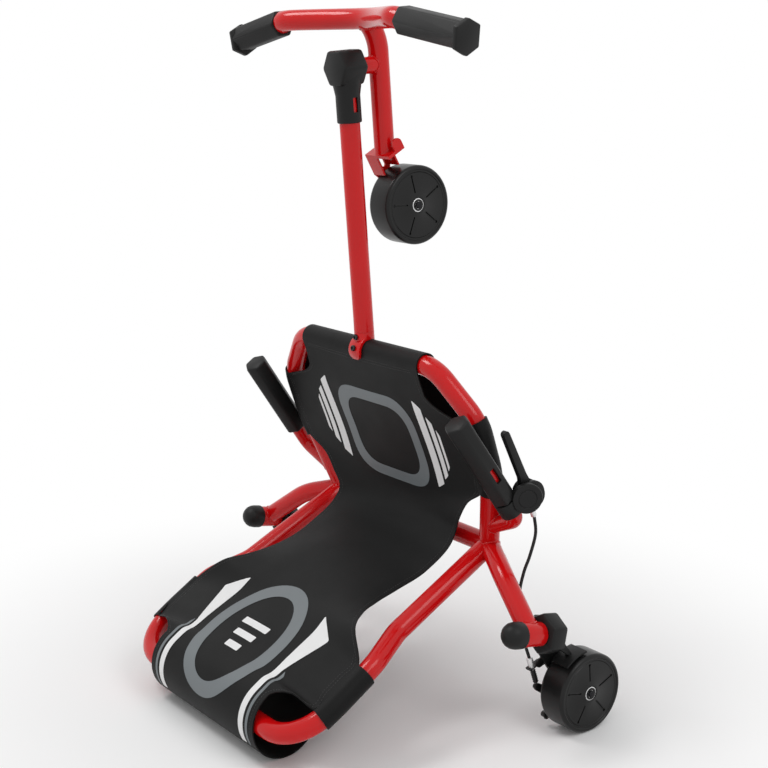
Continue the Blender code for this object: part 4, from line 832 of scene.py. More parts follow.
class SCOOTER_OT_steering_tubes(ScooterOperator):
    """Make the foot bar and the stem, with the boss that holds the kingpin"""
    bl_idname = "scooter.steering_tubes"
    bl_label = "Steering tubes"

    def execute(self, context):
        red = self.material("gloss_powder_coat")
        bead = self.sizes().weld_bead
        dress(tube("foot_bar_bent", bar_path, TUBE_D), red, "steering", ["foot_bar"])
        axes = self.fork_axes()
        below = [(0, -CUT_REACH), (CUT_REACH, -CUT_REACH), (CUT_REACH, CUT_REACH), (0, CUT_REACH)]
        trim = settle(slab("crown_trim", below, -CUT_REACH, CUT_REACH, axes))
        stem = fused(tube("stem_bent", stem_path, TUBE_D), [], [trim])
        dress(stem, red, "steering", ["steering_stem"])
        dress(self.fork(axes), red, "steering", ["front_fork"])
        boss_foot = Vector((0, STEER_Y, STEM_Z))
        pin_r, boss_r = KINGPIN_D / 2 + SKIN_GAP, BOSS_D / 2
        top, low = BOSS_HIGH - STEM_Z, TUBE_R * BOSS_SUNK
        profile = [(pin_r, top), (boss_r - PRESSED_EDGE, top), (boss_r, top - PRESSED_EDGE), (boss_r, low),
                   (pin_r, low)]
        boss = turned("kingpin_boss", profile, Matrix.Translation(boss_foot), 64)
        dress(weld_and_smooth(settle(boss)), red, "steering")
        welds = {"bar_weld": (bar_middle, stem_corner - bar_middle, TUBE_D, bar_path),
                 "boss_weld": (boss_foot, Vector((0, 0, 1)), BOSS_D, stem_path)}
        for weld, (start, way, branch_d, main) in welds.items():
            dress(weld_bead(weld, start, way, branch_d, main, TUBE_D, bead), red, "steering")
        return {"FINISHED"}

    def fork_axes(self):
        """The crown's place: x down the leg, y across it and z to the rider's right."""
        down = (Vector((0, FRONT_WHEEL_Y, WHEEL_R)) - stem_crown).normalized()
        right = Vector((1, 0, 0))
        turn = Matrix((down, right.cross(down), right)).transposed().to_4x4()
        return Matrix.Translation(stem_crown) @ turn

    def fork(self, axes):
        """Crown plate, a folded leg down to the axle and a round lug that stands up on the other side."""
        reach = (Vector((0, FRONT_WHEEL_Y, WHEEL_R)) - stem_crown).length
        plate = [(-CROWN_HALF_T, -CROWN_HALF_D), (CROWN_HALF_T, -CROWN_HALF_D),
                 (CROWN_HALF_T, CROWN_HALF_D), (-CROWN_HALF_T, CROWN_HALF_D)]
        web = [(-CROWN_HALF_T, CROWN_HALF_D), (-CROWN_HALF_T, -CROWN_HALF_D),
               (FLANGE_LENGTH, -CROWN_HALF_D), (WEB_END, -LEG_HALF)]
        web += arc((reach, 0), LEG_HUB_R, -math.pi / 2, math.pi / 2, 16)
        web += [(WEB_END, LEG_HALF), (FLANGE_LENGTH, CROWN_HALF_D)]
        lug = [(CROWN_HALF_T, LUG_ASIDE + LUG_R),
               *arc((-LUG_RISE, LUG_ASIDE), LUG_R, math.pi / 2, math.pi * 1.5, 16),
               (CROWN_HALF_T, LUG_ASIDE - LUG_R)]
        slot = arc((SLOT_LOW, SLOT_ASIDE), SLOT_R, -math.pi / 2, math.pi / 2, 8)
        slot += arc((SLOT_HIGH, SLOT_ASIDE), SLOT_R, math.pi / 2, math.pi * 1.5, 8)
        added = [settle(slab("leg", web, -CROWN_HALF_W, LEG_T - CROWN_HALF_W, axes)),
                 settle(slab("lug", lug, CROWN_HALF_W - LEG_T, CROWN_HALF_W, axes))]
        for edge in (-1, 1):
            outer, inner = edge * CROWN_HALF_D, edge * (CROWN_HALF_D - LEG_T)
            flange = [(-CROWN_HALF_T, outer), (FLANGE_LENGTH, outer), (FLANGE_LENGTH, inner),
                      (-CROWN_HALF_T, inner)]
            added.append(settle(slab("flange", flange, -CROWN_HALF_W, FLANGE_REACH - CROWN_HALF_W, axes)))
        window = settle(slab("slot", slot, -CUT_REACH / 2, 0, axes))
        crown = settle(slab("front_fork_folded", plate, -CROWN_HALF_W, CROWN_HALF_W, axes))
        return fused(crown, added, [window], PRESSED_EDGE)


class SCOOTER_OT_wheels(ScooterOperator):
    """Make the three wheels, with the grooves in their faces"""
    bl_idname = "scooter.wheels"
    bl_label = "Wheels"
    FRONT_PHASE = math.radians(12)
    # The hub's face: its depth, that of the bearing's mouth and its chamfer, and the slope to the sunk face
    HUB_SUNK = 0.0004
    MOUTH_SUNK = 0.0010
    MOUTH_CHAMFER = 0.0006
    SLOPE_INNER = 0.0012
    SLOPE_OUTER = 0.0010
    # The fine ring line: its place as a share of the radius, and its half width and depth
    RING_SHARE = 0.83
    RING_HALF = 0.0006
    # The rim's step up and the shoulder that starts beyond it
    RIM_FOOT = 0.0018
    RIM_TOP = 0.0008
    RIM_SUNK = 0.0003
    SHOULDER_START = math.radians(8)
    SHOULDER_STEPS = 9
    DRUM_CHAMFER = 0.0008
    DRUM_LIP = 0.0012
    SPACER_STEP = 0.0023
    GROOVE_START = 0.004
    POCKET_STEPS = 14

    def execute(self, context):
        caster_hub = {side: Vector((side * TRACK_HALF, 0, WHEEL_R)) for side in WORDS}
        across = Matrix.Rotation(math.pi / 2, 4, "Y")
        front = Matrix.Translation((0, FRONT_WHEEL_Y, WHEEL_R)) @ across
        front = front @ Matrix.Rotation(self.FRONT_PHASE, 4, "Z")
        self.wheel("front_wheel", front, "front_wheel_assembly", False, (1, -1))
        for side, word in WORDS.items():
            turn = Matrix.Rotation(side * math.pi / 2, 4, "Y")
            matrix = Matrix.Translation(caster_hub[side]) @ turn
            name = "rear_wheel_" + word
            self.wheel(name, matrix, name + "_assembly", side == RIGHT, (1,))
        return {"FINISHED"}

    def profile(self, drum):
        """Half section: hub boss, sunk face with a fine ring line, rim lip, round shoulder and tread."""
        half = WHEEL_W / 2
        face = half - FACE_RECESS
        ring_at = WHEEL_R * self.RING_SHARE
        ring = self.RING_HALF
        hub = [(BEARING_SEAT_R, half - self.MOUTH_SUNK),
               (BEARING_SEAT_R + self.MOUTH_CHAMFER, half - self.HUB_SUNK),
               (HUB_BOSS_R - self.SLOPE_INNER, half - self.HUB_SUNK), (HUB_BOSS_R + self.SLOPE_OUTER, face)]
        line = [(ring_at - ring, face), (ring_at, face - ring), (ring_at + ring, face)]
        outside = hub + line + self.shoulder(self.sizes().outer_shoulder)
        far = self.shoulder(self.sizes().inner_shoulder)
        inside = [(r, -z) for r, z in reversed(hub + far)]
        if drum:
            deep = half - DRUM_DEEP
            low = self.HUB_SUNK - half
            rim = [(r, -z) for r, z in reversed(far[2:])]
            inside = rim + [(DRUM_R + self.DRUM_CHAMFER, low), (DRUM_R, self.DRUM_LIP - half),
                            (DRUM_R, -deep), (HUB_BOSS_R, -deep), (HUB_BOSS_R, low), (BEARING_SEAT_R, low)]
        seat_z = half - BEARING_DEPTH
        spacer = BEARING_SEAT_R - self.SPACER_STEP
        return outside + inside + [(BEARING_SEAT_R, -seat_z), (spacer, -seat_z), (spacer, seat_z),
                                   (BEARING_SEAT_R, seat_z)]

    def shoulder(self, radius):
        """The step up from a face to the rim, and the round shoulder up to the tread."""
        half = WHEEL_W / 2
        edge = WHEEL_R - radius
        rise = [(edge - self.RIM_FOOT, half - FACE_RECESS), (edge - self.RIM_TOP, half - self.RIM_SUNK)]
        bend = arc((half - radius, edge), radius, self.SHOULDER_START, math.pi / 2, self.SHOULDER_STEPS)
        return rise + [(r, z) for z, r in bend]

    def groove(self, matrix, face, index):
        """A cutter for one groove: a narrow slot that ends in a round pocket."""
        sizes = self.sizes()
        half = sizes.groove_width / 2
        pocket = half * 2
        start = HUB_BOSS_R + self.GROOVE_START
        end = start + sizes.groove_length
        lean = math.asin(half / pocket)
        outline = arc((end, 0), pocket, lean - math.pi, math.pi - lean, self.POCKET_STEPS)
        outline += [(start, half), (start, -half)]
        angle = math.pi / 2 + math.tau * index / GROOVE_COUNT
        lift = Matrix.Translation((0, 0, face * (WHEEL_W / 2 - FACE_RECESS)))
        place = matrix @ lift @ Matrix.Rotation(angle, 4, "Z")
        return slab("groove_cutter", outline, -sizes.groove_depth, sizes.groove_depth, place)

    def wheel(self, node, matrix, body, drum, faces):
        wheel = turned(node + "_cast", self.profile(drum), matrix)
        cutters = [self.groove(matrix, face, index) for face in faces for index in range(GROOVE_COUNT)]
        for cutter in cutters:
            pocket = wheel.modifiers.new("groove", "BOOLEAN")
            pocket.object = cutter
            pocket.solver = "EXACT"
        made = weld_and_smooth(settle(wheel), 30)
        for cutter in cutters:
            bpy.data.objects.remove(cutter, do_unlink=True)
        dress(made, self.material("cast_polyurethane"), body, [node])
        for end, word in ((1, "outer"),) if drum else ((1, "outer"), (-1, "inner")):
            high, low = end * SEAL_HIGH, end * SEAL_LOW
            ring = [(SEAL_INNER_R, high), (SEAL_OUTER_R, high), (SEAL_OUTER_R, low), (SEAL_INNER_R, low)]
            seal = turned(node + "_seal_" + word, ring, matrix, 48)
            dress(weld_and_smooth(settle(seal)), self.material("extruded_rubber"), body)


# Cloth rows of the seat: distance behind the front tube in the middle and at the edge,
# and the edge's half width
SEAT_ROWS = ((0.022, 0.015, 0.1500), (0.042, 0.036, 0.1515), (0.060, 0.053, 0.1580), (0.071, 0.066, 0.1830))
# Sleeve rows: distance behind the front tube in the middle and at the side tube
SLEEVE_ROWS = ((0.080, 0.076), (0.091, 0.0885), (0.104, 0.101), (0.130, 0.125), (0.160, 0.151),
               (0.186, 0.172), (0.212, 0.194))
# Free rows of the waist and the lower backrest: forward and up in the middle;
# half width, forward and up at the edge
FREE_ROWS = (((0.267, 0.116), (0.190, 0.280, 0.1305)), ((0.245, 0.114), (0.168, 0.250, 0.130)),
             ((0.224, 0.119), (0.156, 0.226, 0.1285)), ((0.207, 0.141), (0.1555, 0.204, 0.142)),
             ((0.188, 0.186), (0.1555, 0.176, 0.192)), ((0.171, 0.2415), (0.1515, 0.161, 0.245)),
             ((0.155, 0.290), (0.1555, 0.1545, 0.292)), ((0.143, 0.322), (0.165, 0.151, 0.325)),
             ((0.131, 0.348), (0.187, 0.144, 0.356)))
# Backrest rows: forward and up in the middle, and the height of the side tube at the sleeve
BACK_ROWS = ((0.119, 0.378, 0.376), (0.1095, 0.402, 0.401), (0.0985, 0.430, 0.430), (0.087, 0.458, 0.458))
COLUMNS = 22
ROW_STEP = 0.006


def cloth_row(middle, edge):
    """One row of the cloth's right half, bowed between the middle line and the edge."""
    row = []
    for i in range(COLUMNS + 1):
        share = i / COLUMNS
        lift = share ** 2
        row.append(Vector((edge[0] * share, middle[0] + (edge[1] - middle[0]) * lift,
                           middle[1] + (edge[2] - middle[1]) * lift)))
    return row


def cloth_height(y):
    """The height of the cloth where it lies straight from side tube to side tube."""
    if y > SEAT_SIDE_Y:
        return SEAT_FRONT_Z - SEAT_SLOPE * (SEAT_FRONT_Y - y) + WRAP_R * math.hypot(1, SEAT_SLOPE)
    return crossing(seat_path, 1, y)[0].z + WRAP_R


def sleeve(path, axis, value, face):
    """Points round a tube from the side it faces over its outer side, where the cloth is sewn to a sleeve."""
    centre, way = crossing(path, axis, value)
    up = (face - way * face.dot(way)).normalized()
    out = up.cross(way)
    if out.x < 0:
        out.negate()
    count = round(SLEEVE_ARC / FINE_STEP)
    ends = arc((0, 0), WRAP_R, SLEEVE_START, SLEEVE_START - SLEEVE_ARC, count)
    return [centre + out * x + up * z for x, z in ends]


def hem_rows():
    """The hem round the front tube, from its free edge under the tube to the top."""
    leave = math.pi / 2 + math.atan(SEAT_SLOPE)
    ends = arc((SEAT_FRONT_Y, SEAT_FRONT_Z), WRAP_R, leave - HEM_ARC, leave, round(HEM_ARC / FINE_STEP))
    return [cloth_row((y, z), (HEM_HALF, y, z)) for y, z in ends]


def seat_rows():
    rows = []
    for middle, edge, half in SEAT_ROWS:
        y, edge_y = SEAT_FRONT_Y - middle, SEAT_FRONT_Y - edge
        rows.append(cloth_row((y, cloth_height(y)), (half, edge_y, cloth_height(edge_y))))
    first = SLEEVE_ROWS[0][0]
    span = SLEEVE_ROWS[-1][0] - first
    for middle, edge in SLEEVE_ROWS:
        y = SEAT_FRONT_Y - middle
        sag = SEAT_SAG * math.sin(math.pi / 2 * (middle - first) / span)
        wrap = sleeve(seat_path, 1, SEAT_FRONT_Y - edge, Vector((0, 0, 1)))
        rows.append(cloth_row((y, cloth_height(y) - sag), wrap[0]) + wrap[1:])
    return rows


def back_rows():
    rows = [cloth_row(middle, edge) for middle, edge in FREE_ROWS]
    for y, z, height in BACK_ROWS:
        wrap = sleeve(back_path, 2, height, Vector((0, 1, 0)))
        rows.append(cloth_row((y, z), wrap[0]) + wrap[1:])
    return rows


def roll_rows():
    """From the backrest's top round the roll to the free edge behind the cloth's front layer."""
    mid_r = ROLL_R - CLOTH / 2
    last = Vector(BACK_ROWS[-1][:2])
    centre = Vector((ROLL_Y, ROLL_Z))
    heading = math.atan2(last.y - centre.y, last.x - centre.x)
    leave = heading + math.acos(mid_r / (last - centre).length)
    floor = math.pi - STAND_TILT
    tangent = centre + Vector((math.cos(leave), math.sin(leave))) * mid_r
    along = (tangent - last).normalized()
    inward = Vector((-along.y, along.x))
    if inward.dot(centre - tangent) < 0:
        inward.negate()
    joint = last.lerp(tangent, ROLL_JOINT)
    end = last.lerp(tangent, ROLL_END) + inward * (CLOTH + LAYER_GAP)
    over = arc(centre, mid_r, leave, floor, ROLL_OVER_STEPS)
    under = arc(centre, mid_r, floor, floor + ROLL_UNDER_ARC, ROLL_UNDER_STEPS)[1:]
    shoulder = [cloth_row(tuple(joint), (ROLL_HALF + ROLL_FLARE, joint.x, joint.y))]
    return shoulder + [cloth_row(point, (ROLL_HALF, *point)) for point in over + under + [tuple(end)]]


def eased(a, b, c, d, gaps, share):
    """A point between b and c on a smooth curve through four rows that are unevenly apart."""
    before, here, after = gaps
    slope_b = ((b - a) / before * here + (c - b) / here * before) / (before + here)
    slope_c = ((c - b) / here * after + (d - c) / after * here) / (here + after)
    t2, t3 = share * share, share ** 3
    return (b * (2 * t3 - 3 * t2 + 1) + slope_b * here * (t3 - 2 * t2 + share)
            + c * (3 * t2 - 2 * t3) + slope_c * here * (t3 - t2))


class Cloth:
    """The sling's middle surface: rows of points over its right half, and their distance along the cloth."""
    NORMAL_STEP = 0.003
    NEAR_EDGE = 0.9999
    BACKREST_Y = 0.15

    def __init__(self):
        self.rows = self.refined(hem_rows() + seat_rows() + back_rows() + roll_rows())
        self.along = [0.0]
        for near, far in zip(self.rows, self.rows[1:]):
            self.along.append(self.along[-1] + (far[0] - near[0]).length)

    def refined(self, rows):
        """Rows at an even close spacing, on smooth curves through the given ones."""
        gaps = [(far[0] - near[0]).length for near, far in zip(rows, rows[1:])]
        made = []
        for i, gap in enumerate(gaps):
            a, b, c, d = rows[max(i - 1, 0)], rows[i], rows[i + 1], rows[min(i + 2, len(rows) - 1)]
            around = (gaps[max(i - 1, 0)], gap, gaps[min(i + 1, len(gaps) - 1)])
            shared = min(len(b), len(c))
            made.append(b)
            for step in range(1, max(1, round(gap / ROW_STEP))):
                share = step / max(1, round(gap / ROW_STEP))
                made.append([eased(a[k] if k < len(a) else b[k] * 2 - c[k], b[k], c[k],
                                   d[k] if k < len(d) else c[k] * 2 - b[k], around,
                                   share) for k in range(shared)])
        made.append(rows[-1])
        return made

    def row_at(self, distance):
        """The rows on each side of a distance along the cloth, and the share between them."""
        for i, (near, far) in enumerate(zip(self.along, self.along[1:])):
            if distance <= far:
                return i, (distance - near) / (far - near)
        return len(self.rows) - 2, 1.0

    def half_width(self, distance):
        """The half width of the cloth between its side tubes or free edges."""
        i, share = self.row_at(distance)
        return self.rows[i][COLUMNS].x * (1 - share) + self.rows[i + 1][COLUMNS].x * share

    def middle_point(self, x, distance):
        i, share = self.row_at(distance)
        across = min(abs(x) / self.half_width(distance), self.NEAR_EDGE) * COLUMNS
        k = int(across)
        near = self.rows[i][k].lerp(self.rows[i][k + 1], across - k)
        far = self.rows[i + 1][k].lerp(self.rows[i + 1][k + 1], across - k)
        point = near.lerp(far, share)
        return Vector((math.copysign(point.x, x), point.y, point.z))

    def point(self, x, distance, lift=0.0):
        """A point on the cloth, at x across it and a distance along it, lifted off its rider's side."""
        here = self.middle_point(x, distance)
        step = self.NORMAL_STEP
        ahead = self.middle_point(x, distance + step) - self.middle_point(x, max(distance - step, 0))
        across = self.middle_point(x + step, distance) - self.middle_point(x - step, distance)
        return here + ahead.cross(across).normalized() * lift

    def end_along(self, y=None, z=None):
        """The distance along the middle line at which the seat reaches y, or the backrest reaches z."""
        for row, distance in zip(self.rows, self.along):
            if y is not None and distance > HEM_ARC * WRAP_R and row[0].y <= y:
                return distance
            if z is not None and row[0].y < self.BACKREST_Y and row[0].z >= z:
                return distance
        raise ValueError("the cloth does not reach there")


cloth = Cloth()


class SCOOTER_OT_sling(ScooterOperator):
    """Make the cloth sling: hem, seat, waist, backrest and rolled end in one sheet"""
    bl_idname = "scooter.sling"
    bl_label = "Sling"

    def execute(self, context):
        shape = bmesh.new()
        flat = shape.loops.layers.uv.new("cloth")
        for side in (RIGHT, LEFT):
            self.half(shape, flat, side)
        bmesh.ops.remove_doubles(shape, verts=shape.verts, dist=SEAM_MERGE)
        bmesh.ops.recalc_face_normals(shape, faces=shape.faces)
        sling = from_shape("sling_cloth", shape)
        sling = thickened(sling, CLOTH)
        dress(sling, self.material("coated_polyester"), "frame", ["sling_seat"])
        return {"FINISHED"}

    def half(self, shape, flat, side):
        """Loft the rows of one half, and note where each corner lies in the flat cloth."""
        grid = [[(shape.verts.new((side * p.x, p.y, p.z)), k) for k, p in enumerate(row)]
                for row in cloth.rows]
        for i, (near, far) in enumerate(zip(grid, grid[1:])):
            for a, b, c, d in zip(near, near[1:], far[1:], far):
                face = shape.faces.new([v for v, _ in (a, b, c, d)])
                face.smooth = True
                for loop, (vert, k), along in zip(face.loops, (a, b, c, d), (i, i, i + 1, i + 1)):
                    reach = abs(vert.co.x) if k <= COLUMNS else (
                        abs(cloth.rows[along][COLUMNS].x) + (k - COLUMNS) * WRAP_R * FINE_STEP)
                    loop[flat].uv = (side * reach, cloth.along[along])


class SCOOTER_OT_seat_flaps(ScooterOperator):
    """Make the under layer of the seat's sleeves, seen where the top layer is cut away at the corners"""
    bl_idname = "scooter.seat_flaps"
    bl_label = "Seat flaps"
    FRONT_Y = 0.488
    REAR_Y = 0.405
    INNER_X = 0.090
    BELOW = 0.0005
    ROWS = 12
    COLUMNS = 12

    def execute(self, context):
        for side, word in WORDS.items():
            shape = bmesh.new()
            flat = shape.loops.layers.uv.new("cloth")
            grid = []
            for i in range(self.ROWS + 1):
                y = self.FRONT_Y + (self.REAR_Y - self.FRONT_Y) * i / self.ROWS
                centre = crossing(seat_path, 1, y)[0]
                low = centre.z - WRAP_R - self.BELOW
                span = self.INNER_X - centre.x
                across = [centre.x + span * k / self.COLUMNS for k in range(self.COLUMNS + 1)]
                grid.append([shape.verts.new((side * x, y, low)) for x in across])
            for near, far in zip(grid, grid[1:]):
                for a, b, c, d in zip(near, near[1:], far[1:], far):
                    face = shape.faces.new((a, b, c, d))
                    for loop in face.loops:
                        loop[flat].uv = loop.vert.co.xy
            bmesh.ops.recalc_face_normals(shape, faces=shape.faces)
            area = sum(face.calc_area() for face in shape.faces)
            flap = thickened(from_shape("seat_flap_" + word, shape), CLOTH / 2)
            dress(flap, self.material("coated_polyester"), "frame")
        return {"FINISHED"}


def inside(outlines, x, y):
    """Whether a point is inside an odd number of outlines."""
    odd = False
    for outline in outlines:
        for (ax, ay), (bx, by) in zip(outline, outline[1:] + outline[:1]):
            if (ay > y) != (by > y) and x < ax + (y - ay) / (by - ay) * (bx - ax):
                odd = not odd
    return odd


def rounded_outline(corners, radius, count=5):
    """A closed outline with each of its corners rounded."""
    made = []
    for i, corner in enumerate(corners):
        here, before, after = Vector(corner), Vector(corners[i - 1]), Vector(corners[(i + 1) % len(corners)])
        back, ahead = (before - here).normalized(), (after - here).normalized()
        start, end = here + back * radius, here + ahead * radius
        for step in range(count + 1):
            t = step / count
            point = start * (1 - t) ** 2 + here * 2 * t * (1 - t) + end * t ** 2
            made.append((point.x, point.y))
    return made


def close_points(outline, step=0.004):
    """The outline with points added so that none are further apart than a step."""
    made = []
    for (ax, ay), (bx, by) in zip(outline, outline[1:] + outline[:1]):
        count = max(1, math.ceil(math.hypot(bx - ax, by - ay) / step))
        made += [(ax + (bx - ax) * i / count, ay + (by - ay) * i / count) for i in range(count)]
    return made


def ellipse(centre, half_x, half_y, count=64):
    return [(centre[0] + half_x * math.cos(math.tau * i / count),
             centre[1] + half_y * math.sin(math.tau * i / count))
            for i in range(count)]


class SCOOTER_OT_prints(ScooterOperator):
    """Print the cloth with a plain design of rings and bars, in white and grey"""
    bl_idname = "scooter.prints"
    bl_label = "Prints"
    MESH_STEP = 0.0045
    CLEAR = 0.00035
    CORNER = 0.002
    HOLE_CORNER = 0.6
    # Seat: the ring's place, half sizes, corner and band; the bars' start across, half length and width
    SEAT_Y = 0.358
    SEAT_RING = (0.099, 0.086, 0.056, 0.021)
    SEAT_BARS = ((0.115, 0.076, 0.018), (0.139, 0.056, 0.011), (0.155, 0.036, 0.006))
    BARS_BEHIND = 0.008
    BAR_LEAN = 0.005
    # Backrest: the oval's place and half sizes, outer and inner; the half width and rise of the bars in it
    BACK_Z = 0.402
    BACK_BEYOND = 0.038
    OVALS = ((0.092, 0.118), (0.067, 0.093))
    BACK_BARS = ((0.034, -0.032), (0.026, -0.008), (0.018, 0.016))
    BACK_BAR_WIDTH = 0.012
    # The wedges beside the oval: their ends and middle along the cloth, and their corners across it
    WEDGE_LOW = -0.095
    WEDGE_MIDDLE = 0.010
    WEDGE_HIGH = 0.150
    WEDGE_SLANT = 0.028
    WEDGE_CORNER = 0.003
    WEDGE_INNER = (0.106, 0.112)
    WEDGE_OUTER = (0.148, 0.125)
    # The lines beside the wedges
    EDGE_LINE = (0.131, 0.137)
    EDGE_START = 0.012
    EDGE_LEAN = 0.004

    def execute(self, context):
        self.seat_prints(cloth.end_along(y=self.SEAT_Y))
        self.back_prints(cloth.end_along(z=self.BACK_Z) + self.BACK_BEYOND)
        return {"FINISHED"}

    def seat_prints(self, seat_at):
        self.ink("seat_ring_print", [self.ring((0, seat_at), *self.SEAT_RING)], "grey_print")
        middle = seat_at - self.BARS_BEHIND
        bars = [self.stripe(side, x, x + width, middle - reach, middle + reach, self.BAR_LEAN)
                for side in (RIGHT, LEFT) for x, reach, width in self.SEAT_BARS]
        self.ink("seat_bar_prints", bars, "white_print")

    def back_prints(self, back_at):
        self.ink("back_loop_print", [[ellipse((0, back_at), *oval) for oval in self.OVALS]], "grey_print")
        stripes = [self.stripe(RIGHT, -half, half, back_at + rise, back_at + rise + self.BACK_BAR_WIDTH, 0)
                   for half, rise in self.BACK_BARS]
        rises = (self.WEDGE_LOW, self.WEDGE_MIDDLE, self.WEDGE_HIGH)
        low, middle, high = (back_at + rise for rise in rises)
        (inner_low, inner), (outer_low, outer) = self.WEDGE_INNER, self.WEDGE_OUTER
        wedge = [(inner_low, low), (outer_low, low + self.WEDGE_SLANT), (outer, middle), (outer, high),
                 (inner, high), (inner, middle)]
        for side in (RIGHT, LEFT):
            stripes.append([rounded_outline([(side * x, y) for x, y in wedge], self.WEDGE_CORNER)])
        self.ink("back_stripe_prints", stripes, "white_print")
        edges = [self.stripe(side, *self.EDGE_LINE, back_at + self.EDGE_START, high, self.EDGE_LEAN)
                 for side in (RIGHT, LEFT)]
        self.ink("back_edge_prints", edges, "grey_print")

    def ring(self, centre, half_x, half_y, radius, band):
        """A rounded ring: its outer outline and its hole."""
        outlines = []
        for inset in (0, band):
            x, y = half_x - inset, half_y - inset
            signs = ((-1, -1), (1, -1), (1, 1), (-1, 1))
            corners = [(centre[0] + a * x, centre[1] + b * y) for a, b in signs]
            outlines.append(rounded_outline(corners, radius - inset * self.HOLE_CORNER, 12))
        return outlines

    def stripe(self, side, near, far, low, high, lean):
        """A bar along the cloth whose ends are cut at a slant."""
        corners = [(side * near, low - lean), (side * far, low + lean), (side * far, high - lean),
                   (side * near, high + lean)]
        return [rounded_outline(corners, self.CORNER)]

    def ink(self, name, shapes, finish):
        """A thin film of ink on the cloth for each shape; a shape's further outlines are its holes."""
        film = bmesh.new()
        flat = film.loops.layers.uv.new("cloth")
        for outlines in shapes:
            self.film(film, flat, [close_points(outline) for outline in outlines])
        bmesh.ops.recalc_face_normals(film, faces=film.faces)
        made = thickened(from_shape(name, film), self.sizes().print_thickness)
        dress(made, self.material(finish), "frame")

    def film(self, film, flat, outlines):
        """Mesh one shape evenly in the flat cloth, and lay it on the sling."""
        points, edges = [], []
        for outline in outlines:
            first = len(points)
            points += outline
            edges += [(first + i, first + (i + 1) % len(outline)) for i in range(len(outline))]
        outline_points = list(points)
        xs, ys = [x for x, _ in points], [y for _, y in points]
        low_x, low_y = min(xs), min(ys)
        step = self.MESH_STEP
        for i in range(1, int((max(xs) - low_x) / step)):
            for j in range(1, int((max(ys) - low_y) / step)):
                spot = (low_x + i * step, low_y + j * step)
                if inside(outlines, *spot) and min(math.dist(spot, p) for p in outline_points) > step / 2:
                    points.append(spot)
        verts, _, faces, *_ = delaunay_2d_cdt([Vector(point) for point in points], edges, [], 0, MERGE)
        lift = CLOTH / 2 + self.CLEAR
        placed = [film.verts.new(cloth.point(v.x, v.y, lift)) for v in verts]
        for face in faces:
            x = sum(verts[i].x for i in face) / len(face)
            y = sum(verts[i].y for i in face) / len(face)
            if not inside(outlines, x, y):
                continue
            made = film.faces.new([placed[i] for i in face])
            made.smooth = True
            for loop, i in zip(made.loops, face):
                loop[flat].uv = tuple(verts[i])
        loose = [v for v in placed if not v.link_faces]
        bmesh.ops.delete(film, geom=loose, context="VERTS")


class SCOOTER_OT_stitching(ScooterOperator):
    """Sew the seams: along the front hem, the side sleeves and the free edges"""
    bl_idname = "scooter.stitching"
    bl_label = "Stitching"
    # Hem seams: their distances behind the hem, and their half width
    HEM_SEAMS = (0.004, 0.009)
    HEM_SEAM_HALF = 0.135
    # Side seams: their distance from the ends of the cloth and of its sleeves, and the second seam's inset
    SIDE_START = 0.016
    SIDE_END = 0.02
    SEAT_SLEEVE_START = 0.075
    BACK_SLEEVE_START = 0.02
    BACK_SLEEVE_END = 0.12
    SECOND_SEAM = 0.006
    WAIST_START_Y = 0.284
    WAIST_END_Z = 0.350
    RUN_STEP = 0.002
    OFF_MIDDLE = 0.00001

    def execute(self, context):
        shape = bmesh.new()
        inset = self.sizes().seam_inset
        hem_end = HEM_ARC * WRAP_R
        for offset in self.HEM_SEAMS:
            self.sew(shape, self.level_run(hem_end + offset, self.HEM_SEAM_HALF))
        waist_start = cloth.end_along(y=self.WAIST_START_Y)
        waist_end = cloth.end_along(z=self.WAIST_END_Z)
        runs = ((hem_end + self.SIDE_START, cloth.along[-1] - self.SIDE_END, inset),
                (hem_end + self.SEAT_SLEEVE_START, waist_start, inset + self.SECOND_SEAM),
                (waist_end + self.BACK_SLEEVE_START, waist_end + self.BACK_SLEEVE_END,
                 inset + self.SECOND_SEAM))
        for side in (RIGHT, LEFT):
            for run in runs:
                self.sew(shape, self.edge_run(side, *run))
        stitches = settle(from_shape("sling_stitches", shape))
        stitches.data.shade_smooth()
        dress(stitches, self.material("sewing_thread"), "frame")
        return {"FINISHED"}

    def level_run(self, distance, half):
        """Points straight across the cloth, a hair off its middle line, at close even steps."""
        step = self.RUN_STEP
        xs = [-half + i * step + self.OFF_MIDDLE for i in range(int(2 * half / step) + 1)]
        return [cloth.point(x, distance, CLOTH / 2) for x in xs]

    def edge_run(self, side, start, end, inset):
        """Points along the cloth a little inside its edge, at close even steps."""
        run = []
        for i in range(int((end - start) / self.RUN_STEP) + 1):
            distance = start + i * self.RUN_STEP
            run.append(cloth.point(side * (cloth.half_width(distance) - inset), distance, CLOTH / 2))
        return run

    def sew(self, shape, run):
        """One stitch after another along a run of points, each a short round bar with tapered ends."""
        sizes = self.sizes()
        travelled, next_stitch = 0.0, 0.0
        for near, far in zip(run, run[1:]):
            length = (far - near).length
            while length > 0 and next_stitch <= travelled + length:
                spot = near.lerp(far, (next_stitch - travelled) / length)
                turn = turn_to((far - near).normalized()).to_matrix().to_4x4()
                stretch = Matrix.Diagonal((1, 1, sizes.stitch / sizes.thread, 1))
                place = Matrix.Translation(spot) @ turn @ stretch
                bmesh.ops.create_icosphere(shape, subdivisions=1, radius=sizes.thread / 2, matrix=place)
                next_stitch += sizes.stitch_pitch
            travelled += length


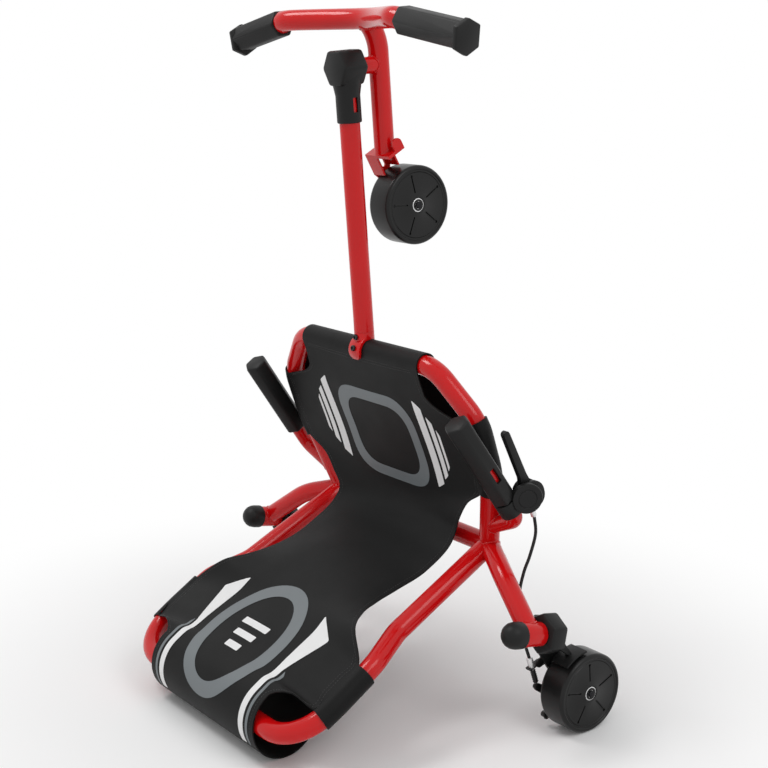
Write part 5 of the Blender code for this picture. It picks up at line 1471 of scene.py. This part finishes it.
class SCOOTER_OT_brake_cover(ScooterOperator):
    """Make the moulded cover over the hand brake's drum housing"""
    bl_idname = "scooter.brake_cover"
    bl_label = "Brake cover"
    # The cover leans toward the rider, over the drum's outer face
    LEAN = math.radians(25)
    MIDDLE = Vector((0.3015, 0.309, 0.108))
    RADIUS = 0.0235
    HALF = 0.004
    # The faint ring in its face: its edges and floor, outward, and its depth
    RING_RADII = (0.0132, 0.0138, 0.0142, 0.0148)
    RING_DEEP = 0.0006
    # The rounded rim: the distance from the outer edge and from the face of each point
    RIM = ((0.0022, 0), (0.0007, 0.0006), (0, 0.0020))
    FOOT = Vector((0.3003, 0.309, 0.092))
    FOOT_R = 0.0175
    FOOT_HIGH = 0.004

    def execute(self, context):
        r, half = self.RADIUS, self.HALF
        depths = (0, self.RING_DEEP, self.RING_DEEP, 0)
        face = [(0, half)] + [(at, half - deep) for at, deep in zip(self.RING_RADII, depths)]
        face += [(r - aside, half - below) for aside, below in self.RIM] + [(r, -half), (0, -half)]
        way = Vector((math.cos(self.LEAN), 0, math.sin(self.LEAN)))
        place = Matrix.Translation(self.MIDDLE) @ turn_to(way).to_matrix().to_4x4()
        cover = settle(turned("brake_housing_cover", face, place))
        foot = [(0, self.FOOT_HIGH), (self.FOOT_R, self.FOOT_HIGH), (self.FOOT_R, 0), (0, 0)]
        place = Matrix.Translation(self.FOOT) @ Matrix.Rotation(math.pi / 2, 4, "Y")
        foot = settle(turned("cover_foot", foot, place))
        dress(fused(cover, [foot], []), self.material("moulded_nylon"), "frame")
        return {"FINISHED"}


class SCOOTER_OT_cable(ScooterOperator):
    """Make the brake cable's jacket, and the bellows that the arm presses"""
    bl_idname = "scooter.cable"
    bl_label = "Brake cable"
    # The route's points below the ferrule, in order
    ROUTE = (Vector((0.286, 0.240, 0.080)), Vector((0.280, 0.205, 0.088)), Vector((0.277, 0.180, 0.099)),
             Vector((0.282, 0.150, 0.114)), Vector((0.300, 0.112, 0.129)), Vector((0.313, 0.084, 0.134)))
    LEAD = 0.004
    SPACING = 0.004
    # At the lever: the drum housing's middle and diameter, the cable's slope there and the ferrule's length
    DRUM_AT = Vector((0.288, 0.309, 0.094))
    DRUM_HOUSING_D = 0.046
    DROP = math.radians(15)
    FERRULE_LENGTH = 0.016
    # At the caster, from the wheel's centre: the brake arm's tip and the cable's stop; the adjuster's length
    ARM_TIP = Vector((-0.0380, 0.008, 0.0525))
    STOP = Vector((-0.0380, 0.044, 0.1245 - WHEEL_R))
    ADJUSTER_LENGTH = 0.019
    # The bellows: its radius and bore, its ends below the stop, and its folds with the share of their valleys
    BELLOWS_R = 0.0045
    BELLOWS_BORE_R = 0.0014
    BELLOWS_TOP = 0.0033
    BELLOWS_END = 0.028
    FOLDS = 6
    VALLEY = 0.72

    def execute(self, context):
        way = Vector((0, -math.cos(self.DROP), -math.sin(self.DROP)))
        upper = self.DRUM_AT + way * (self.DRUM_HOUSING_D / 2 + SKIN_GAP + self.FERRULE_LENGTH + SKIN_GAP)
        pull = (self.STOP - self.ARM_TIP).normalized()
        stop = Vector((TRACK_HALF, 0, WHEEL_R)) + self.STOP
        lower = stop + pull * (self.ADJUSTER_LENGTH + SKIN_GAP)
        route = [upper, upper + way * self.LEAD, *self.ROUTE, lower + pull * self.LEAD, lower]
        jacket = tube("brake_cable_jacket", flowing(route, self.SPACING), self.sizes().cable_jacket, 20)
        dress(jacket, self.material("extruded_rubber"), None, ["brake_cable"])
        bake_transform(jacket)
        self.bellows(stop, pull)
        return {"FINISHED"}

    def bellows(self, stop, pull):
        """The folded rubber boot under the cable's stop."""
        pitch = (self.BELLOWS_END - self.BELLOWS_TOP) / (2 * self.FOLDS)
        folds = [(self.BELLOWS_R * (1.0 if i % 2 else self.VALLEY), -self.BELLOWS_TOP - i * pitch)
                 for i in range(2 * self.FOLDS + 1)]
        profile = [(self.BELLOWS_BORE_R, -self.BELLOWS_TOP), *folds,
                   (self.BELLOWS_BORE_R, -self.BELLOWS_END)]
        place = Matrix.Translation(stop) @ turn_to(pull).to_matrix().to_4x4()
        boot = weld_and_smooth(settle(turned("cable_bellows", profile, place, 32)), 80)
        dress(boot, self.material("extruded_rubber"), None, ["cable_boot"])
        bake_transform(boot)


class SCOOTER_OT_stage(ScooterOperator):
    """Set up the pale floor, the soft studio light and the camera"""
    bl_idname = "scooter.stage"
    bl_label = "Stage"
    FLOOR_SIZE = 16.0
    # How far out the floor starts to fade, and where it has become the background
    FADE_START = 0.35
    FADE_END = 1.0
    SOFT_LIGHT = 0.62
    # Each lamp's name, place, side and watts, and the point that they face
    LAMPS = (("key_softbox", (-0.9, -1.0, 2.8), 0.9, 24.0), ("fill_softbox", (2.0, 0.2, 2.2), 1.2, 14.0))
    LAMP_AIM = Vector((0, 0, 0.45))
    # The camera's place, its turn in degrees and its lens in millimetres
    CAMERA_AT = (1.80955, -1.2713, 1.03882)
    CAMERA_TURN = (76.5066, 0.9065, 52.5845)
    LENS = 67.97

    def execute(self, context):
        scene = context.scene
        scene.view_settings.view_transform = "Standard"
        self.floor()
        self.world(scene)
        for lamp in self.LAMPS:
            self.lamp(*lamp)
        camera_data = bpy.data.cameras.new("camera")
        camera_data.lens = self.LENS
        camera = new_object("camera", camera_data)
        camera.location = self.CAMERA_AT
        camera.rotation_euler = [math.radians(angle) for angle in self.CAMERA_TURN]
        scene.camera = camera
        return {"FINISHED"}

    def floor(self):
        """A white floor that keeps the shadow near the scooter and fades to the background further out."""
        shape = bmesh.new()
        bmesh.ops.create_grid(shape, x_segments=1, y_segments=1, size=self.FLOOR_SIZE / 2)
        floor = from_shape("floor", shape)
        sockets = {"Roughness": 0.75, "Specular IOR Level": 0.15}
        material, tree, shader, place = surface("floor_paper", linear("#F7F7F7"), sockets)
        reach = add_node(tree, "ShaderNodeVectorMath", {"operation": "LENGTH"}, None, {0: place})
        fade = add_node(tree, "ShaderNodeMapRange", {"interpolation_type": "SMOOTHSTEP"},
                        {"From Min": self.FADE_START, "From Max": self.FADE_END},
                        {"Value": reach.outputs["Value"]})
        ray = add_node(tree, "ShaderNodeLightPath")
        seen = add_node(tree, "ShaderNodeMath", {"operation": "MAXIMUM"}, None,
                        {0: ray.outputs["Is Camera Ray"], 1: ray.outputs["Is Glossy Ray"]})
        far_off = add_node(tree, "ShaderNodeMath", {"operation": "MULTIPLY"}, None,
                           {0: seen.outputs[0], 1: fade.outputs["Result"]})
        white = add_node(tree, "ShaderNodeEmission", None, {"Strength": 1.0})
        blend = add_node(tree, "ShaderNodeMixShader", None, None,
                         {0: far_off.outputs[0], 1: shader.outputs["BSDF"], 2: white.outputs["Emission"]})
        tree.links.new(blend.outputs["Shader"], tree.nodes["Material Output"].inputs["Surface"])
        floor.data.materials.append(material)

    def world(self, scene):
        """White where the camera and reflections look, and a plain soft light on everything else."""
        world = bpy.data.worlds.new("studio")
        world.use_nodes = True
        scene.world = world
        tree = world.node_tree
        soft = tree.nodes["Background"]
        soft.inputs["Color"].default_value = (1, 1, 1, 1)
        soft.inputs["Strength"].default_value = self.SOFT_LIGHT
        white = add_node(tree, "ShaderNodeBackground", None, {"Color": (1, 1, 1, 1), "Strength": 1.0})
        ray = add_node(tree, "ShaderNodeLightPath")
        either = add_node(tree, "ShaderNodeMath", {"operation": "MAXIMUM"}, None,
                          {0: ray.outputs["Is Camera Ray"], 1: ray.outputs["Is Glossy Ray"]})
        seen = add_node(tree, "ShaderNodeMath", {"operation": "MAXIMUM"}, None,
                        {0: either.outputs[0], 1: ray.outputs["Is Transmission Ray"]})
        blend = add_node(tree, "ShaderNodeMixShader", None, None,
                         {0: seen.outputs[0], 1: soft.outputs["Background"],
                          2: white.outputs["Background"]})
        tree.links.new(blend.outputs["Shader"], tree.nodes["World Output"].inputs["Surface"])

    def lamp(self, name, spot, size, power):
        data = bpy.data.lights.new(name, "AREA")
        data.size = size
        data.energy = power
        lamp = new_object(name, data)
        lamp.location = spot
        aim = self.LAMP_AIM - lamp.location
        lamp.rotation_euler = aim.to_track_quat("-Z", "Y").to_euler()


OPERATORS = (SCOOTER_OT_stage, SCOOTER_OT_hardware, SCOOTER_OT_frame_tubes, SCOOTER_OT_steering_tubes,
             SCOOTER_OT_wheels, SCOOTER_OT_sling, SCOOTER_OT_seat_flaps, SCOOTER_OT_prints,
             SCOOTER_OT_stitching, SCOOTER_OT_brake_cover, SCOOTER_OT_cable)


class SCOOTER_PT_panel(bpy.types.Panel):
    """The scooter's sizes, colours and steps"""
    bl_label = "Scooter"
    bl_idname = "SCOOTER_PT_panel"
    bl_space_type = "VIEW_3D"
    bl_region_type = "UI"
    bl_category = "Scooter"

    def draw(self, context):
        for group in (context.scene.scooter_sizes, context.scene.scooter_colours):
            box = self.layout.box()
            for name in group.__annotations__:
                box.prop(group, name)
        for operator in OPERATORS:
            self.layout.operator(operator.bl_idname)


CLASSES = (ScooterSizes, ScooterColours, *OPERATORS, SCOOTER_PT_panel)


def register():
    for made in CLASSES:
        bpy.utils.register_class(made)
    bpy.types.Scene.scooter_sizes = PointerProperty(type=ScooterSizes)
    bpy.types.Scene.scooter_colours = PointerProperty(type=ScooterColours)


def unregister():
    del bpy.types.Scene.scooter_colours
    del bpy.types.Scene.scooter_sizes
    for made in reversed(CLASSES):
        bpy.utils.unregister_class(made)


def main():
    register()
    bpy.ops.scooter.stage()
    bpy.ops.scooter.hardware()
    bpy.ops.scooter.frame_tubes()
    bpy.ops.scooter.steering_tubes()
    bpy.ops.scooter.wheels()
    bpy.ops.scooter.sling()
    bpy.ops.scooter.seat_flaps()
    bpy.ops.scooter.prints()
    bpy.ops.scooter.stitching()
    bpy.ops.scooter.brake_cover()
    bpy.ops.scooter.cable()
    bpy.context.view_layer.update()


if __name__ == "__main__":
    main()
